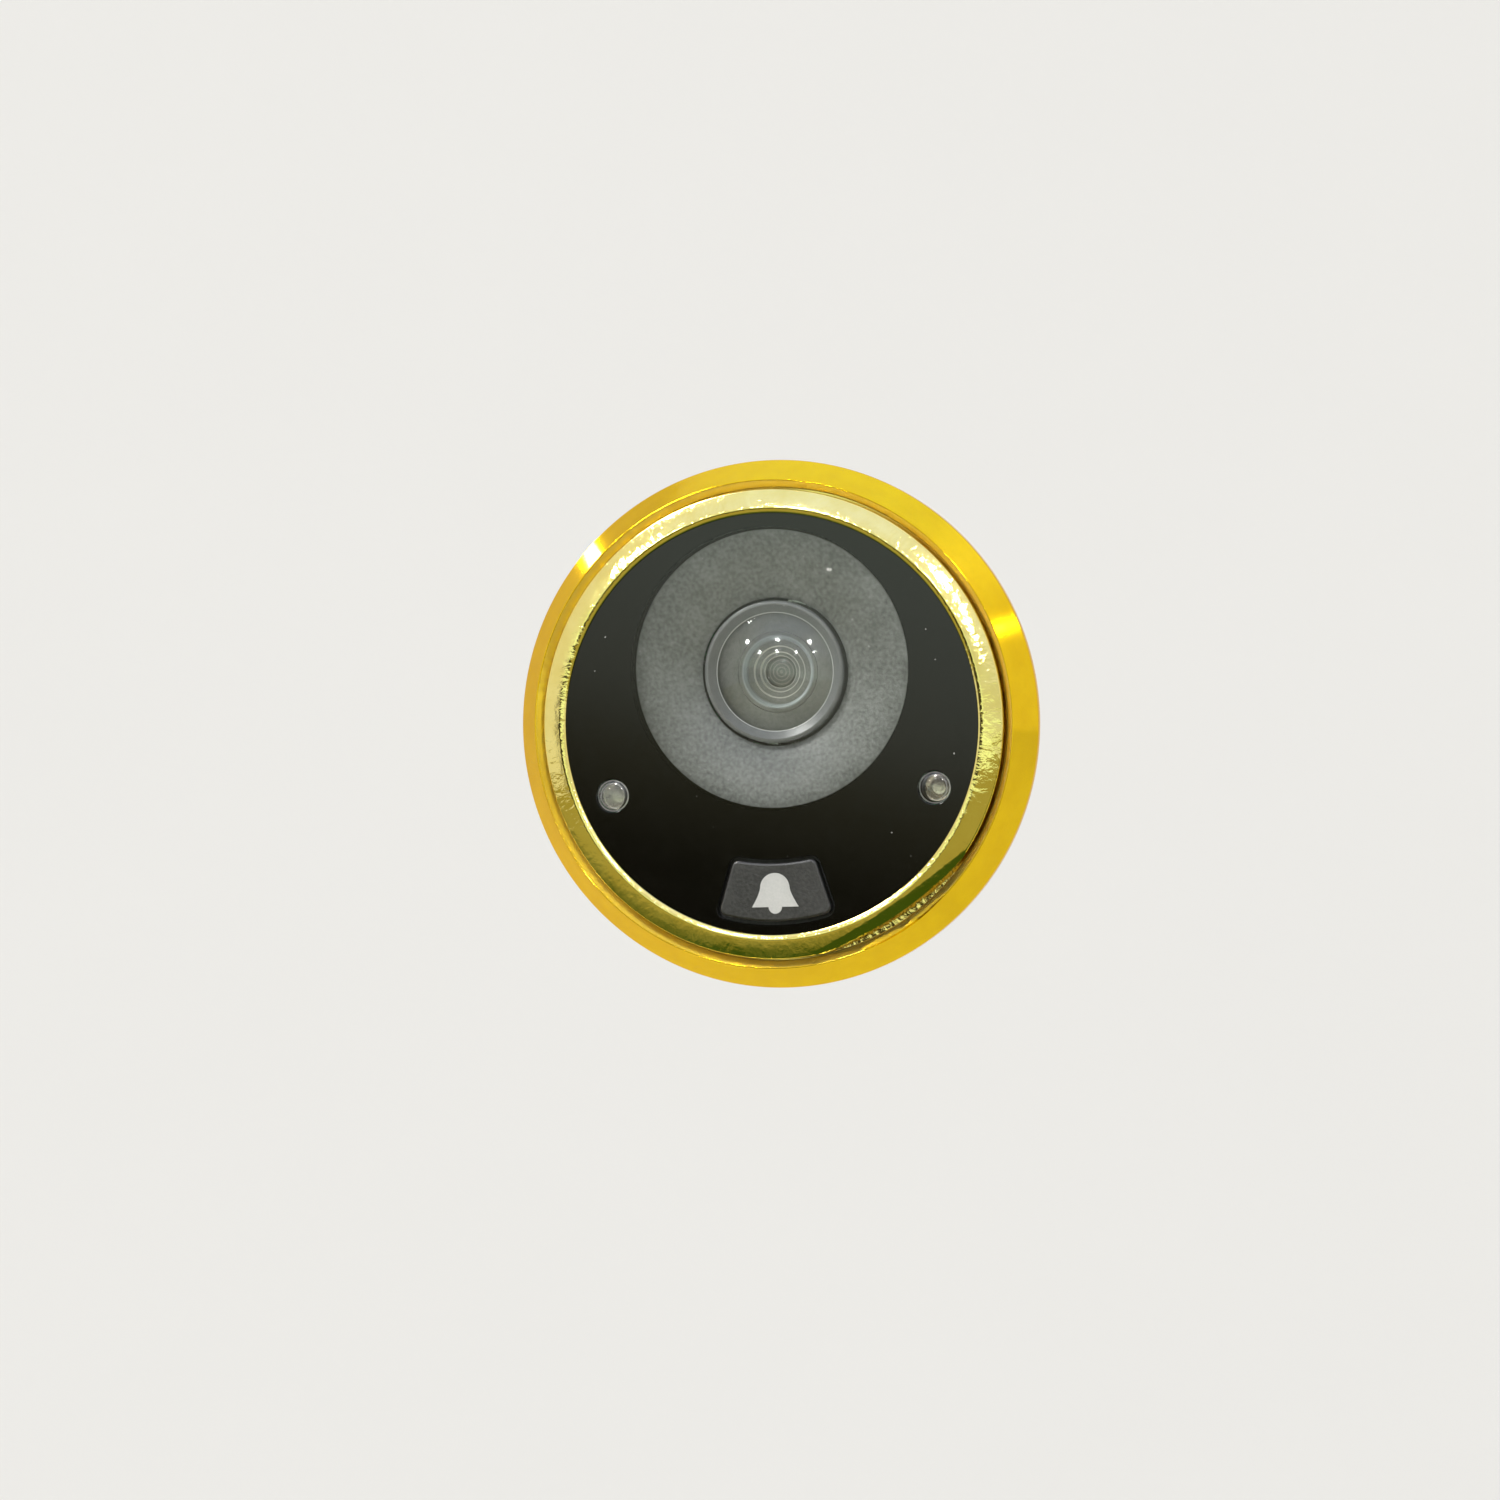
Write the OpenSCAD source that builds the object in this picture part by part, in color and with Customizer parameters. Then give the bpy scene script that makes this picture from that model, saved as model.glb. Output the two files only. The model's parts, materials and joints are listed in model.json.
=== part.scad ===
// Door viewer camera: the outdoor head of a digital peephole, with a doorbell button.
// Each piece is drawn lying on its back: x to the right, y up the door and z from the door
// towards the visitor. The last step stands it up: the front faces -Y and +Z is up.

/* [Base ring] */
// Outer diameter of the ring on the door
base_od = 52.2; // [48:0.1:58]
// Width of the sloped face, measured along the radius
base_slope_w = 2.05; // [1.6:0.05:2.6]
// Height of the straight side of the ring
base_side_h = 1.1; // [0.8:0.1:1.6]
// Height of the sloped face above the side
base_slope_h = 3.0; // [2.6:0.1:3.4]
// Width of the inner slope that falls from the crest to the bezel
base_inner_w = 0.75; // [0.6:0.05:0.95]
// Height of that inner slope
base_inner_h = 1.1; // [0.8:0.05:1.5]
// Thickness of the flange that carries the bezel and the housing
base_flange_t = 1.0; // [0.8:0.1:1.2]
// Width of that flange under the housing's rim
base_seat_w = 1.05; // [0.9:0.05:1.2]
// How far the scoop for a pry tool cuts into the sloped face
scoop_reach = 0.35; // [0.2:0.05:0.5]
// Depth of that scoop
scoop_depth = 1.2; // [1:0.1:1.4]
// Radius of that scoop
scoop_r = 14.9; // [13:0.1:18]

/* [Bezel] */
// Wall of the bezel's skirt
bezel_skirt_t = 0.95; // [0.8:0.05:1.1]
// Width of the bezel's face, from the panel to its outer edge
bezel_face_w = 2.4; // [2.2:0.05:2.6]
// Width of the rounded inner lip
bezel_lip_w = 0.55; // [0.4:0.05:0.7]
// Height of the lip above the panel
bezel_lip_h = 0.32; // [0.25:0.01:0.45]
// Slope of the face, which falls from the lip to the outer edge
bezel_slope = 21.5; // [18:0.5:24]
// Radius of the rounded outer edge
bezel_edge_r = 0.3; // [0.2:0.01:0.35]
// Direction of the pry notch, counted from the right
notch_angle = -57.5; // [-80:0.5:-40]
// Depth of the pry notch at the bezel's rim
notch_depth = 0.64; // [0.5:0.01:0.7]
// Radius of the shallow curve that cuts the notch
notch_r = 40; // [34:0.5:60]
// Height of the notch's upright wall below its slope
notch_h = 1.6; // [1.2:0.1:1.8]
// Depth of the groove that the bezel's snaps catch
snap_groove = 0.35; // [0.25:0.05:0.4]
// Height of the snaps
snap_h = 0.5; // [0.4:0.05:0.6]
// Distance of the snaps below the top of the housing's rim
snap_down = 1.4; // [1.3:0.05:1.5]
// Angle that each snap spans
snap_arc = 12; // [8:1:16]
// Number of snaps
snap_count = 4; // [3:1:6]

/* [Face panel] */
// Thickness of the clear panel
panel_t = 1.0; // [0.8:0.1:1.2]
// How far the panel reaches under the lip
panel_grip = 0.7; // [0.6:0.05:0.75]
// Thickness of the black film on the back of the panel
mask_t = 0.1; // [0.05:0.01:0.15]
// Thickness of the adhesive ring under the film
tape_t = 0.2; // [0.1:0.05:0.3]
// Height of the middle of the film's round window above the middle of the panel
window_up = 5.46; // [5.2:0.02:5.7]
// Distance from the top of the window to the bezel
window_margin = 1.56; // [1.4:0.02:2]

/* [Lens shroud] */
// How far the shroud reaches past the edge of the window
shroud_lap = 0.87; // [0.7:0.01:1]
// Width of the shroud's flat rim, where the flare towards the lens starts
shroud_flat_w = 0.6; // [0.4:0.05:0.8]
// Depth of the flare at the lens
shroud_depth = 1.65; // [1.3:0.05:1.7]
// Wall of the shroud
shroud_t = 0.8; // [0.6:0.05:0.9]
// Gap between the shroud and the lens ring
shroud_gap = 0.3; // [0.2:0.05:0.4]
// Diameter of the shroud's feet
shroud_foot_d = 1.6; // [1.2:0.1:2]
// Distance of the feet from the shroud's edge
shroud_foot_in = 1.2; // [1:0.1:1.4]

/* [Lens] */
// Distance of the lens axis below the middle of the window
lens_drop = 0.31; // [0:0.01:0.5]
// Outer diameter of the ring that holds the front glass
lens_ring_d = 14.08; // [13.8:0.02:14.4]
// Diameter of the front glass that shows
lens_glass_d = 11.6; // [11.2:0.1:11.8]
// Distance from the film to the front edge of the lens ring
lens_setback = 1.0; // [0.8:0.05:1.2]
// Height of the ring's crest above the edge of the glass
lens_ring_rise = 0.6; // [0.4:0.05:0.7]
// Width of the ring's flat crest
lens_ring_crest = 0.1; // [0.05:0.05:0.4]
// Radius of the ring's outer edge
lens_ring_round = 0.3; // [0.2:0.05:0.35]
// Wall of the ring's skirt
lens_ring_wall = 0.41; // [0.36:0.01:0.46]
// Height of the ring's lip over the glass
lens_lip_h = 0.3; // [0.25:0.01:0.35]
// Height of the polished edge of the front glass
glass_edge_h = 0.12; // [0.1:0.01:0.15]
// Fall of the front glass's shoulder behind that edge
glass_shoulder_h = 0.1; // [0.08:0.01:0.12]
// Wall of the barrel around the front glass
glass_wall = 0.26; // [0.2:0.01:0.3]
// Radius of curvature of the front glass
lens_front_curve = 12; // [11.5:0.5:16]
// Radius of curvature of the hollow behind the front glass
lens_hollow_curve = 4.2; // [3.9:0.1:4.6]
// Diameter of that hollow
lens_hollow_d = 7; // [6.8:0.1:7.2]
// Thickness of the front glass at its middle
lens_front_t = 0.9; // [0.7:0.1:1]
// Diameter of the lens barrel's thread
lens_thread_d = 12; // [11.9:0.05:12.1]
// Bore of the lens barrel that holds the inner glasses
lens_bore_d = 8; // [7.8:0.1:8.4]
// Length of the lens barrel behind the front glass
lens_barrel_l = 9.8; // [9.6:0.1:10]
// Length of the barrel's wide head behind the front glass
lens_head_l = 2.2; // [2:0.1:2.4]
// Clear diameter of the inner glasses
lens_clear_d = 5.4; // [5:0.1:5.6]
// Length of the spacer behind the front glass
spacer_l = 2.2; // [2.1:0.1:2.4]
// Step inside the spacer
spacer_step = 0.3; // [0.2:0.05:0.4]
// Length of the spacer's flared mouth
spacer_taper_l = 0.6; // [0.5:0.05:0.7]
// Distance from the front glass to the first of the spacer's three steps
baffle_in = 0.8; // [0.7:0.05:0.85]
// Height of each of those steps
baffle_h = 0.25; // [0.2:0.01:0.27]
// Opening of the first step
baffle_wide_d = 5.12; // [4.8:0.02:5.4]
// Opening of the second step
baffle_mid_d = 3.94; // [3.6:0.02:4.2]
// Opening of the third step
baffle_small_d = 3.14; // [2.8:0.02:3.4]
// Thickness of the second glass at its edge
second_t = 1.5; // [1.4:0.1:1.6]
// Bulge of the second glass and depth of its hollow
second_bulge = 0.5; // [0.4:0.05:0.6]
// Thickness of the aperture stop
stop_t = 0.4; // [0.3:0.05:0.5]
// Diameter of the hole in the aperture stop
stop_hole_d = 1.9; // [1.4:0.1:2.4]
// Widening of that hole towards the rear
stop_flare = 0.5; // [0.3:0.05:0.7]
// Thickness of the third glass
third_t = 2.0; // [1.8:0.1:2.1]
// Depth of the third glass's hollow
third_hollow = 0.2; // [0.1:0.05:0.3]
// Bulge of the rear glass
rear_bulge = 0.45; // [0.3:0.05:0.6]
// Thickness of the ring that holds the rear glass
retainer_t = 0.9; // [0.7:0.1:1]
// Width of that ring
retainer_w = 1.0; // [0.8:0.1:1.1]
// Distance of that ring inside the end of the barrel
retainer_in = 0.2; // [0.1:0.05:0.3]
// Thickness of the nut that locks the focus
lock_t = 1.4; // [1.2:0.1:1.6]
// Distance of that nut from the barrel's head
lock_gap = 0.2; // [0.1:0.05:0.3]
// How far that nut stands out past the lens ring
lock_proud = 0.2; // [0.1:0.05:0.3]
// Width of the nut's slots
lock_slot_w = 1.4; // [1.2:0.1:1.6]
// Depth of the nut's slots
lock_slot_d = 0.5; // [0.3:0.05:0.6]

/* [Bell button] */
// Distance from the button's lower edge to the bezel
button_margin = 1.3; // [1.2:0.05:1.6]
// Distance from the button's upper edge to the window
button_window_gap = 5.44; // [5.2:0.02:5.6]
// Half of the angle between the button's sides
button_half_angle = 17.2; // [15:0.1:18]
// Radius of the button's corners
button_corner_r = 0.7; // [0.4:0.05:0.9]
// Height of the button above the panel
button_proud = 0.12; // [0.08:0.02:0.3]
// Height of the button's bevelled edge
button_bevel = 0.28; // [0.15:0.01:0.35]
// Gap between the button and the hole in the panel
button_gap = 0.36; // [0.3:0.02:0.45]
// Reach of the rim that keeps the button behind the panel
button_rim = 0.5; // [0.45:0.05:0.55]
// Thickness of that rim
button_rim_t = 0.7; // [0.5:0.05:0.75]
// Travel of the button
button_travel = 0.4; // [0.2:0.05:0.4]
// Thickness of the button over the switch
button_roof_t = 1.22; // [1.15:0.01:1.3]
// Gap between the button's pocket and the switch
button_pocket_gap = 0.35; // [0.3:0.05:0.4]
// Wall of the frame that the button slides in
guide_wall = 0.5; // [0.4:0.05:0.6]
// Height of the printed bell, without its clapper
bell_h = 3.34; // [3:0.02:3.6]
// Width of the bell's mouth
bell_mouth_w = 4.7; // [4:0.1:5]
// Width of the bell's crown
bell_crown_w = 2.96; // [2.6:0.02:3.2]
// Power of the curve by which the sides spread to the mouth
bell_spread = 1.35; // [1:0.05:2.5]
// Diameter of the bell's clapper
bell_clapper_d = 1.34; // [1:0.02:1.6]
// Distance from the bell's mouth to the button's lower edge
bell_mouth_in = 1.45; // [1.2:0.01:1.6]
// Thickness of the print
bell_print_t = 0.05; // [0.03:0.01:0.08]

/* [Light emitter and light sensor] */
// Distance of each from the bezel
lamp_in = 3.23; // [3:0.01:3.6]
// Direction of each, counted down from the side
lamp_angle = 22.38; // [20:0.02:25]
// Diameter of their clear domes
lamp_d = 3.16; // [3:0.02:3.2]
// Diameter of their holes in the panel
lamp_hole_d = 3.32; // [3.2:0.02:3.6]
// Side of their square foot
lamp_foot = 3.3; // [3.1:0.1:3.4]
// Height of their square foot
lamp_foot_h = 0.9; // [0.8:0.05:1]
// Distance of the dome's tip behind the face of the panel
lamp_setback = 0.05; // [0.05:0.05:0.3]
// Height of the domed top
lamp_crown = 0.3; // [0.2:0.05:0.6]
// Diameter of the metal cup inside
lamp_cup_d = 2.2; // [2:0.1:2.3]
// Depth of the mirror in the cup
lamp_mirror_d = 0.55; // [0.45:0.05:0.6]
// Width of the mirror's floor
lamp_mirror_low_d = 1.0; // [0.9:0.05:1.1]
// Width of the mirror's mouth
lamp_mirror_high_d = 1.98; // [1.8:0.02:1.98]
// Side of the chip on the mirror's floor
lamp_chip_w = 0.5; // [0.4:0.05:0.6]
// Height of that chip
lamp_chip_h = 0.2; // [0.1:0.05:0.25]
// Width of the flat terminals
lamp_leg_w = 0.5; // [0.4:0.1:0.8]
// Thickness of the flat terminals
lamp_leg_t = 0.2; // [0.15:0.05:0.25]
// How far the terminals reach out of the foot
lamp_leg_out = 0.4; // [0.3:0.05:0.5]

/* [Switch] */
// Side of the switch under the button
switch_w = 3.5; // [3.2:0.1:3.6]
// Thickness of the floor of the switch's base
switch_floor_t = 0.12; // [0.1:0.01:0.15]
// Diameter of the switch's plunger
switch_stem_d = 1.8; // [1.4:0.1:1.9]
// Thickness of the plunger's flange
stem_flange_t = 0.25; // [0.2:0.05:0.3]
// How far that flange stands out
stem_flange_w = 0.35; // [0.25:0.05:0.4]
// Thickness of the snap dome
dome_t = 0.06; // [0.05:0.01:0.08]
// Rise of the snap dome
dome_rise = 0.1; // [0.08:0.01:0.12]
// Gap between the snap dome and the wall of the hollow
dome_gap = 0.1; // [0.05:0.01:0.15]
// Thickness of the steel plate over the switch
switch_plate_t = 0.15; // [0.1:0.01:0.18]
// Length of the plate's folded legs
plate_leg_l = 0.6; // [0.5:0.05:0.7]
// Width of the plate's folded legs
plate_leg_w = 2.4; // [2:0.1:2.8]
// Diameter of the hollow that holds the snap dome
switch_hollow_d = 2.9; // [2.7:0.1:3]
// Distance of the switch from the button's lower edge
switch_in = 2.75; // [2.6:0.05:2.9]

/* [Housing] */
// Outer diameter of the neck that goes into the door
neck_od = 30; // [29.6:0.1:30.4]
// Wall of the neck
neck_wall = 1.4; // [1.2:0.1:1.6]
// Length of the neck behind the door's face
neck_l = 19; // [18.8:0.1:19.4]
// Thickness of the housing's floor
floor_t = 0.8; // [0.6:0.05:0.9]
// Wall of the housing's rim
rim_wall = 1.75; // [1.7:0.05:1.85]
// Height of the housing's rim above the base flange
rim_h = 2.3; // [2.2:0.05:2.4]
// Diameter of the cover's posts and of the bosses that they screw to
post_d = 3.8; // [3.6:0.1:4]
// Length of those bosses
post_boss_l = 6; // [5:0.5:7]
// Diameter of the front board's screw bosses
board_boss_d = 3.8; // [3.4:0.1:4]
// Length of those bosses
board_boss_l = 5; // [4.8:0.1:5.4]
// How far those bosses sink into the wall of the neck
board_boss_sink = 0.8; // [0.5:0.1:1]
// Diameter of the pins that place the front board
board_pin_d = 1.4; // [1.2:0.1:1.6]
// Distance of those pins from the edge of the board
board_pin_in = 1.1; // [1:0.05:1.3]

/* [Boards] */
// Thickness of the ring-shaped front board
board_t = 0.8; // [0.6:0.05:0.8]
// Room between the lens holder's foot and the edge of the front board's opening
board_room = 2.5; // [2.2:0.1:2.8]
// Thickness of the sensor board
sensor_board_t = 1.0; // [0.8:0.1:1.2]
// Width of the image sensor
sensor_w = 6.4; // [6:0.1:7]
// Height of the image sensor
sensor_h = 5.6; // [5:0.1:6.4]
// Thickness of the image sensor
sensor_t = 0.8; // [0.6:0.05:0.9]
// Thickness of the sensor's cover glass
sensor_glass_t = 0.4; // [0.3:0.05:0.5]
// Distance of the cover glass from the sensor's edge
sensor_glass_in = 0.4; // [0.3:0.05:0.6]
// Gap in front of the cover glass
sensor_gap = 0.6; // [0.5:0.05:0.8]
// Thickness of the infrared filter
filter_t = 0.3; // [0.2:0.05:0.4]
// Diameter of the infrared filter
filter_d = 9; // [8.6:0.1:9.6]
// Gap between the infrared filter and the lens barrel
filter_gap = 0.1; // [0.05:0.01:0.15]
// Thickness of the shelf that carries the filter
shelf_t = 0.6; // [0.5:0.05:0.7]
// Diameter of the hole in that shelf
shelf_hole_d = 7.2; // [6.8:0.1:7.6]
// Outer diameter of the lens holder's tube
holder_d = 15.2; // [14.8:0.1:15.6]
// Diameter of the lens holder's foot
holder_foot_d = 16; // [15.8:0.1:16.2]
// Height of the lens holder's foot
holder_foot_h = 2.5; // [2.3:0.1:2.7]
// Wall of the lens holder's foot
holder_foot_wall = 1.6; // [1.4:0.1:1.8]
// Diameter of the holder's screw ears
ear_d = 3.8; // [3.4:0.1:4]
// Distance of the ears' screws from the edge of the foot
ear_out = 1.5; // [1.4:0.05:1.6]
// Pitch of the pins between the two boards
link_pitch = 2.0; // [1.8:0.1:2.2]
// Number of pins between the two boards
link_count = 5; // [3:1:5]
// Width of the bars that carry those pins
link_bar_w = 2.2; // [1.8:0.1:2.4]
// Height of those bars
link_bar_h = 2.4; // [2:0.1:2.8]
// Distance of the pins from the opening in the front board
link_down = 2.05; // [1.9:0.05:2.2]
// Side of a contact pin
pin_w = 0.5; // [0.4:0.05:0.55]

/* [Rear cover] */
// Thickness of the rear cover
cover_t = 2.0; // [1.8:0.1:2.4]
// How far the cover's edge stands back from the neck
cover_inset = 0.2; // [0.1:0.05:0.4]
// Depth of the cover's spigot in the neck
spigot_l = 2.2; // [2:0.1:2.6]
// Wall of the spigot
spigot_t = 1.25; // [1.1:0.05:1.4]
// Depth of the groove for the seal
seal_groove = 0.6; // [0.4:0.05:0.65]
// Width of the seal
seal_w = 0.8; // [0.6:0.05:0.9]
// Distance of the seal from the end of the neck
seal_in = 0.7; // [0.6:0.05:0.8]
// Distance of the cover screws inside the face of the spigot
post_in = 2.2; // [2.1:0.05:2.25]
// Distance of the two fixing threads from the face of the neck
insert_in = 5.5; // [5.3:0.05:5.7]
// Core diameter of the fixing threads, for M3 screws
insert_bore_d = 2.5; // [2.4:0.05:2.6]
// Outer diameter of the brass inserts
insert_d = 4.6; // [4.2:0.1:4.8]
// Length of the brass inserts
insert_l = 5.6; // [5:0.1:6]
// Width of the grip groove around the inserts
insert_groove_w = 1.0; // [0.6:0.1:1.2]
// Depth of that groove
insert_groove_d = 0.4; // [0.2:0.05:0.5]
// Wall of the plastic around the inserts
insert_wall = 1; // [0.8:0.1:1.2]
// Thickness of the plastic over the end of the inserts
insert_end_t = 0.8; // [0.6:0.1:1]
// Width of the cable socket
socket_w = 11; // [10.6:0.1:11.4]
// Height of the cable socket
socket_h = 5.4; // [5.2:0.1:5.8]
// Wall of the cable socket
socket_wall = 0.8; // [0.6:0.05:0.9]
// Number of contacts in the cable socket
socket_count = 6; // [4:1:6]
// Pitch of those contacts
socket_pitch = 1.5; // [1.4:0.05:1.55]
// Depth of the cable socket
socket_depth = 5.2; // [4.8:0.1:5.6]
// Distance of the socket below the middle of the cover
socket_down = 1; // [0.8:0.05:1.2]
// Distance of the socket's mouth inside the face of the cover
socket_in = 0.8; // [0.5:0.1:1]
// Distance of the contacts inside the socket's mouth
contact_in = 1.2; // [0.8:0.1:1.6]
// Width of the socket's key slots
key_w = 1.2; // [1:0.1:1.4]
// Length of the socket's key slots
key_l = 2.4; // [2:0.1:3]
// Thickness of the foam ring between the camera and the door
gasket_t = 0.5; // [0.4:0.05:0.6]
// Distance of the foam ring's edge inside the edge of the camera
gasket_in = 0.9; // [0.6:0.1:1.4]
// Gap between the foam ring and the neck
gasket_gap = 1.5; // [0.5:0.1:2]

/* [Screws and clearances] */
// Shank diameter of the cover screws
cover_screw_d = 2.0; // [1.8:0.1:2.2]
// Head diameter of the cover screws
cover_head_d = 3.8; // [3.4:0.1:4]
// Head height of the cover screws
cover_head_h = 1.2; // [1:0.1:1.4]
// Length of the cover screws' thread in the housing
cover_screw_bite = 4; // [3:0.5:4.5]
// Shank diameter of the small screws
small_screw_d = 1.4; // [1.2:0.1:1.6]
// Head diameter of the small screws
small_head_d = 3.0; // [2.6:0.1:3]
// Head height of the small screws
small_head_h = 0.9; // [0.7:0.1:1]
// Length of the front board's screws
board_screw_l = 4.2; // [3.6:0.1:4.4]
// Length of the holder screws' thread in the holder
holder_screw_bite = 1.8; // [1.4:0.1:2]
// Room past the tip of a screw
screw_room = 0.3; // [0.2:0.05:0.4]
// Play of a screw in its thread or a pin in its hole
thread_play = 0.04; // [0.03:0.01:0.06]
// Play of a piece in its seat
seat_play = 0.15; // [0.1:0.01:0.2]
// Play of a sliding fit
slide_play = 0.08; // [0.05:0.01:0.1]
// Gap above and below what the button moves
press_gap = 0.05; // [0.04:0.01:0.06]

/* [Hidden] */
$fn = 96;
// Overshoot of a cutting tool past the face that it cuts
cut = 0.5;

// Levels above the door, from the back to the front
z_base = gasket_t;
z_seat = z_base + base_flange_t;
z_side = z_base + base_side_h;
z_slope = z_side + base_slope_h;
z_floor = z_base + floor_t;
z_board = z_floor + board_t;
z_ledge = z_seat + rim_h;
z_film = z_ledge + tape_t;
z_panel = z_film + mask_t;
z_face = z_panel + panel_t;
z_lip = z_face + bezel_lip_h;

// Radii of the rings
base_r = base_od / 2;
slope_r = base_r - base_slope_w;
well_r = slope_r - base_inner_w;
bezel_r = well_r - seat_play;
view_r = bezel_r - bezel_face_w;
lip_r = view_r + bezel_lip_w;
edge_mid_r = bezel_r - bezel_edge_r;
z_edge = z_lip - (edge_mid_r - lip_r) * tan(bezel_slope) - bezel_edge_r / cos(bezel_slope);
panel_r = view_r + panel_grip;
skirt_r = bezel_r - bezel_skirt_t;
rim_r = skirt_r - seat_play;
rim_in_r = rim_r - rim_wall;
flange_r = rim_r - base_seat_w;
floor_r = flange_r - seat_play;
neck_r = neck_od / 2;
neck_in_r = neck_r - neck_wall;
board_r = rim_in_r - seat_play;
window_r = view_r - window_margin - window_up;
shroud_r = window_r + shroud_lap;
snap_r = rim_r - snap_groove + seat_play;
z_snap = z_ledge - snap_down;

// Radii and levels of the lens, from its front to the sensor board
lens_up = window_up - lens_drop;
lens_r = lens_ring_d / 2;
glass_r = lens_glass_d / 2;
barrel_r = lens_thread_d / 2;
bore_r = lens_bore_d / 2;
hollow_r = lens_hollow_d / 2;
clear_r = lens_clear_d / 2;
head_r = lens_r - lens_ring_wall - thread_play;
glass_edge_r = head_r - glass_wall - thread_play;
z_ring = z_film - lens_setback;
z_glass = z_ring - lens_ring_rise;
z_lens_lip = z_glass - lens_lip_h;
z_glass_tip = z_glass + lens_front_curve - sqrt(pow(lens_front_curve, 2) - pow(glass_r, 2));
z_hollow_tip = z_glass_tip - lens_front_t;
z_hollow_mid = z_hollow_tip - lens_hollow_curve;
z_glass_seat = z_hollow_mid + sqrt(pow(lens_hollow_curve, 2) - pow(hollow_r, 2));
z_head = z_glass_seat - lens_head_l;
z_spacer_end = z_glass_seat - spacer_l;
z_second_end = z_spacer_end - second_t;
z_stop_end = z_second_end - stop_t;
z_third_end = z_stop_end - third_t;
z_barrel_end = z_glass_seat - lens_barrel_l;
z_retainer = z_barrel_end + retainer_in;
z_rear_end = z_retainer + retainer_t;
z_lock = z_head - lock_gap;
z_holder = z_lock - lock_t;
z_filter_shelf = z_barrel_end - filter_gap - filter_t;
z_cavity = z_filter_shelf - shelf_t;
z_sensor_glass = z_cavity - sensor_gap;
z_sensor = z_sensor_glass - sensor_glass_t;
z_sensor_board = z_sensor - sensor_t;
z_sensor_back = z_sensor_board - sensor_board_t;

// Levels and places of the rear cover
z_neck_end = -neck_l;
z_back = z_neck_end - cover_t;
z_cover_head = z_back + cover_head_h + screw_room;
z_socket_mouth = z_back + socket_in;
z_insert_end = z_back + insert_l;
spigot_r = neck_in_r - seat_play;
z_seal = z_neck_end + seal_in;
post_r = post_d / 2;
post_at = places(spigot_r - post_in, [25, 155, 270]);

// Places of the front board's screws and pins, and of the lens holder's ears
board_screw_at = places(neck_in_r - board_boss_d / 2 + board_boss_sink, [0, 180]);
board_pin_at = places(board_r - board_pin_in, [63, 117]);
foot_r = holder_foot_d / 2;
board_hole_r = foot_r + board_room;
ear_ring_r = foot_r + ear_out;
ear_angles = [-40, 220];
ear_at = places(ear_ring_r, ear_angles);
link_up = lens_up - board_hole_r - link_down;

// The two lamps, the button and the switch below it
lamp_at = places(view_r - lamp_in, [-lamp_angle, 180 + lamp_angle]);
button_low_r = view_r - button_margin;
button_high_r = window_r + button_window_gap;
switch_down = button_low_r - switch_in;
z_button = z_face + button_proud;
z_rim_top = z_film - seat_play;
z_rim = z_rim_top - button_rim_t;
z_pocket = z_button - button_roof_t;
pocket_w = switch_w + 2 * button_pocket_gap;
z_dome = z_board + switch_floor_t;
z_dome_tip = z_dome + dome_rise + dome_t;
z_stem_foot = z_dome_tip + press_gap + button_travel;
z_stem_flange = z_stem_foot + stem_flange_t;
z_stem = z_pocket - press_gap;
z_switch = z_stem_flange + press_gap;
z_plate = z_switch + switch_plate_t;

// Points of an arc about [x, y]
function arc(x, y, r, from, to, steps) =
    [for (i = [0 : steps]) let (a = from + (to - from) * i / steps) [x + r * cos(a), y + r * sin(a)]];

// Points on a circle about the middle, at these angles
function places(r, angles) = [for (a = angles) [r * cos(a), r * sin(a)]];

// Stands a piece up so that its front faces the visitor
module on_door() {
    rotate([90, 0, 0]) children();
}

// The same, for what is centred on the lens
module on_lens() {
    on_door() translate([0, lens_up, 0]) children();
}

module turned(outline) {
    rotate_extrude() polygon(outline);
}

module disc(r, low, high) {
    translate([0, 0, low]) cylinder(r = r, h = high - low);
}

module washer(r, hole_r, low, high) {
    difference() {
        disc(r, low, high);
        disc(hole_r, low - cut, high + cut);
    }
}

module block(w, h, low, high) {
    translate([-w / 2, -h / 2, low]) cube([w, h, high - low]);
}

module at(points) {
    for (p = points)
        translate(p) children();
}

// A row of copies along x about the middle
module in_row(count, pitch) {
    for (i = [0 : count - 1])
        translate([(i - (count - 1) / 2) * pitch, 0, 0]) children();
}

// Screw with its head on the level z = 0 and its shank below, with a cross recess
module screw(d, head_d, head_h, length) {
    recess_l = head_d * 0.65;
    recess_w = head_d * 0.14;
    recess_d = head_h * 0.55;
    disc(d / 2, -length, 0);
    difference() {
        disc(head_d / 2, 0, head_h);
        block(recess_l, recess_w, head_h - recess_d, head_h + cut);
        block(recess_w, recess_l, head_h - recess_d, head_h + cut);
    }
}

// The same screw put in from behind, with its head below the level z
module screw_from_behind(d, head_d, head_h, length, z) {
    translate([0, 0, z]) mirror([0, 0, 1]) screw(d, head_d, head_h, length);
}

// Outline of the button: an arc about the panel below, an arc about the window above
module button_outline() {
    side = 2 * button_low_r;
    offset(r = button_corner_r, $fn = 32) offset(delta = -button_corner_r) intersection() {
        difference() {
            circle(r = button_low_r, $fn = 240);
            translate([0, window_up]) circle(r = button_high_r, $fn = 240);
        }
        polygon([[0, 0], [-side * sin(button_half_angle), -side * cos(button_half_angle)],
            [side * sin(button_half_angle), -side * cos(button_half_angle)]]);
    }
}

module button_hole(low, high) {
    translate([0, 0, low]) linear_extrude(high - low) offset(r = button_gap, $fn = 32) button_outline();
}

module lamp_holes(low, high) {
    at(lamp_at) disc(lamp_hole_d / 2, low, high);
}

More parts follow.
